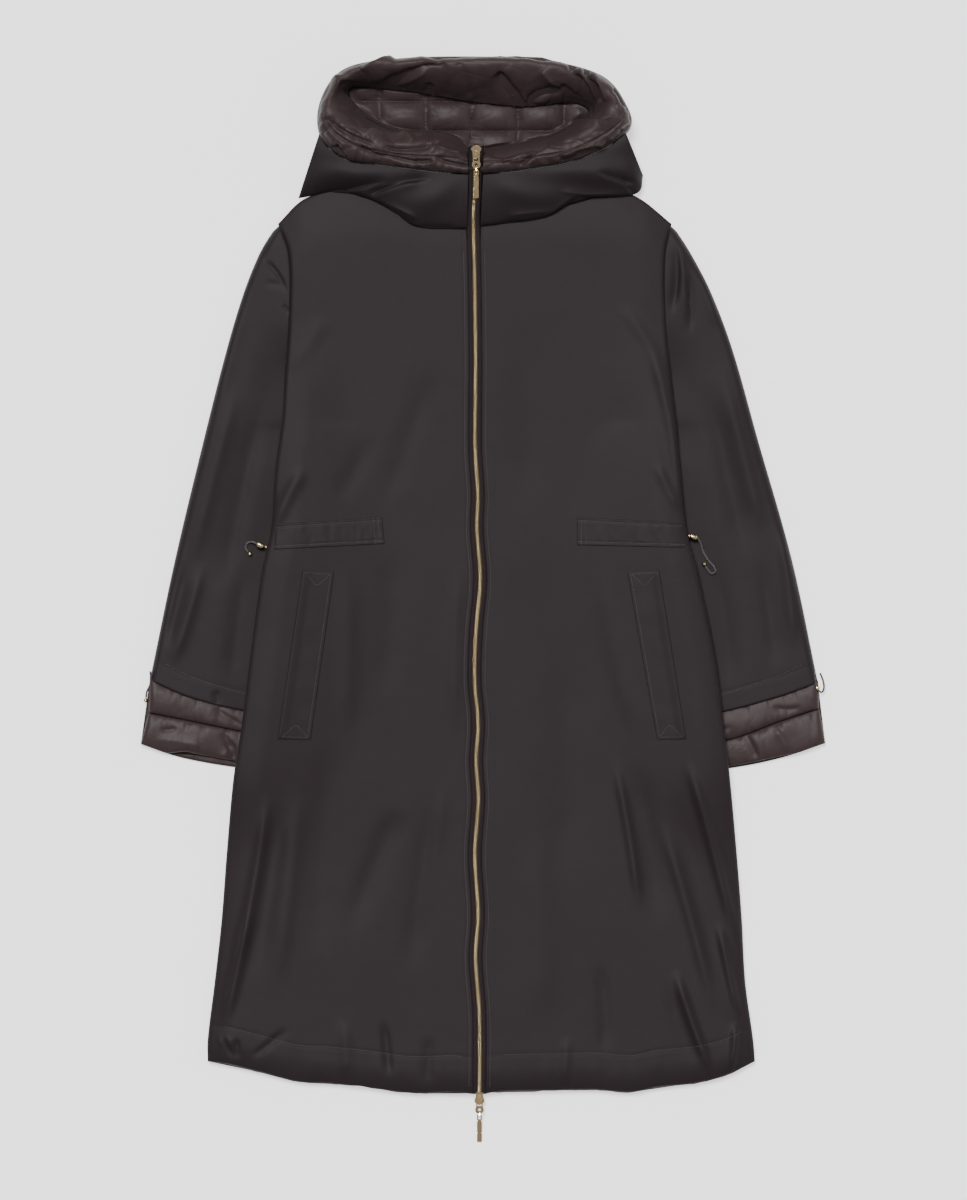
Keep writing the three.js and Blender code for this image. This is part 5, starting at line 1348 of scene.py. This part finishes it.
def stitch_run(line):
    """Points and faces of the stitches along a line: each is a short thread of five six-sided rings,
    highest in the middle, where ring k stands at a share of its length with its own rise and size."""
    line = even_line(line, stitch_step)
    ahead = unit(np.diff(line, axis=0))
    level = unit(np.cross(ahead, (0.0, 0.0, 1.0)))
    shares = np.array([0.0, 0.15, 0.5, 0.85, 1.0])
    rise = np.array([-0.25, 0.05, 0.22, 0.05, -0.25])
    size = thread_half * np.array([0.4, 0.95, 1.0, 0.95, 0.4])
    turn = np.linspace(0, 2 * np.pi, thread_sides, endpoint=False)
    centre = line[:-1, None] + ahead[:, None] * (shares * stitch_long)[None, :, None]
    centre = centre + rise[None, :, None] * np.array([0, 0, 1.0])
    sides = np.cos(turn)[:, None] * level[:, None, None] + np.sin(turn)[:, None] * np.array([0, 0, 1.0])
    points = centre[:, :, None] + size[None, :, None, None] * sides
    count = len(shares) * thread_sides
    one = grid_faces(len(shares), thread_sides, wrap=True).tolist()
    one += [list(range(thread_sides))[::-1], list(range(count - thread_sides, count))]
    faces = [[count * n + k for k in face] for n in range(len(ahead)) for face in one]
    return points.reshape(-1, 3), faces


def sewn(name, lines):
    """One piece of all the stitches along some lines of points."""
    points, faces, start = [], [], 0
    for line in lines:
        some, their = stitch_run(line)
        points.append(some)
        faces += [[start + k for k in face] for face in their]
        start += len(some)
    piece = make_piece(name, np.vstack(points), faces, thread)
    face_out(piece)


def on_front(side, line, rise=0.0):
    """A line in plan laid on a front, at a rise above its cloth."""
    return np.column_stack([line, front_top(side, line[:, 0], line[:, 1]) + rise])


thread = thread_material()
for side in sign:
    ys = np.linspace(400, -560, 500)
    beside_zip = np.column_stack([zip_x(ys) + sign[side] * (zip_half + zip_stitch), ys])
    xs = sign[side] * np.linspace(24, 298, 200)
    over_hem = np.column_stack([xs, hem_line[side](xs) + hem_stitch])
    sewn(f"stitches_front_{side}", [on_front(side, beside_zip), on_front(side, over_hem)])
    sewn(f"stitches_sleeve_{side}", [sleeve_tops[side]])

    t = np.linspace(0, 1, 60)
    casing_seams = [quad_plan(casings[side], t, np.array([share]))[0] for share in (0.12, 0.87)]
    casing_seams += [quad_plan(casings[side], np.array([share]), t)[:, 0] for share in (0.96, 0.915)]
    sewn(f"stitches_casing_{side}", [on_front(side, line, casing_rise) for line in casing_seams])

    corner = quad_plan(welts[side], np.array([0.12, 0.5, 0.9]), np.array([0.015, 0.09, 0.91, 0.985]))
    runs = [
        [corner[0, 0], corner[1, 1], corner[0, 2], corner[0, 0]],
        [corner[3, 0], corner[2, 1], corner[3, 2], corner[3, 0]],
        [corner[0, 2], corner[3, 2]],
    ]
    lines = [on_front(side, even_line(np.array(run), pocket_run_step), welt_rise) for run in runs]
    sewn(f"stitches_pocket_{side}", lines)


# Floor and light: a plain pale floor with a light of its own, which keeps it pale and the coat dark,
# a sky that is brighter overhead, a soft key lamp from the hood's left and a weak wide one low on
# the right.
def floor_material():
    """Plain matt paint, pale grey."""
    material, tree, shader, place = start_material("pale_floor", 0.9, Emission_Strength=0.98)
    amount = use_group(tree, patches, Vector=place, Size=3.0)["Amount"]
    paint(tree, shader, (0.8, 0.8, 0.8), (0.82, 0.82, 0.82), amount)
    shader.inputs["Emission Color"].default_value = (1.0, 1.0, 1.0, 1.0)
    return material


floor_half = 6.0
floor_corners = floor_half * np.array([(-1, -1, 0), (1, -1, 0), (1, 1, 0), (-1, 1, 0)])
floor_mesh = bpy.data.meshes.new("floor")
floor_mesh.from_pydata(floor_corners.tolist(), [], [(0, 1, 2, 3)])
floor_mesh.materials.append(floor_material())
floor = bpy.data.objects.new("floor", floor_mesh)
bpy.context.scene.collection.objects.link(floor)

world = bpy.data.worlds.new("studio")
world.use_nodes = True
sky = world.node_tree
direction = joined_nodes(sky, "ShaderNodeTexCoord").outputs["Object"]
height_of_sky = joined_nodes(sky, "ShaderNodeSeparateXYZ", {0: direction}).outputs["Z"]
sky_range = {"Value": height_of_sky, "From Min": 0.1, "From Max": 0.95}
overhead = joined_nodes(sky, "ShaderNodeMapRange", sky_range).outputs[0]
sky_colour = two_tone(sky, (0.3, 0.3, 0.3), (1.0, 1.0, 1.0), overhead)
sky.links.new(sky_colour, sky.nodes["Background"].inputs["Color"])
sky.nodes["Background"].inputs["Strength"].default_value = 0.5
bpy.context.scene.world = world


def lamp(name, strength, wide, tilt, turn):
    """A sun lamp: its strength, the width of its disc, its tilt from straight down, and its turn."""
    light = bpy.data.lights.new(name, "SUN")
    light.energy = strength
    light.angle = np.radians(wide)
    made = bpy.data.objects.new(name, light)
    made.rotation_euler = (np.radians(-tilt), 0.0, np.radians(turn))
    bpy.context.scene.collection.objects.link(made)


lamp("key", 4.15, 20, 21, 22)
lamp("side", 0.7, 60, 60, -80)
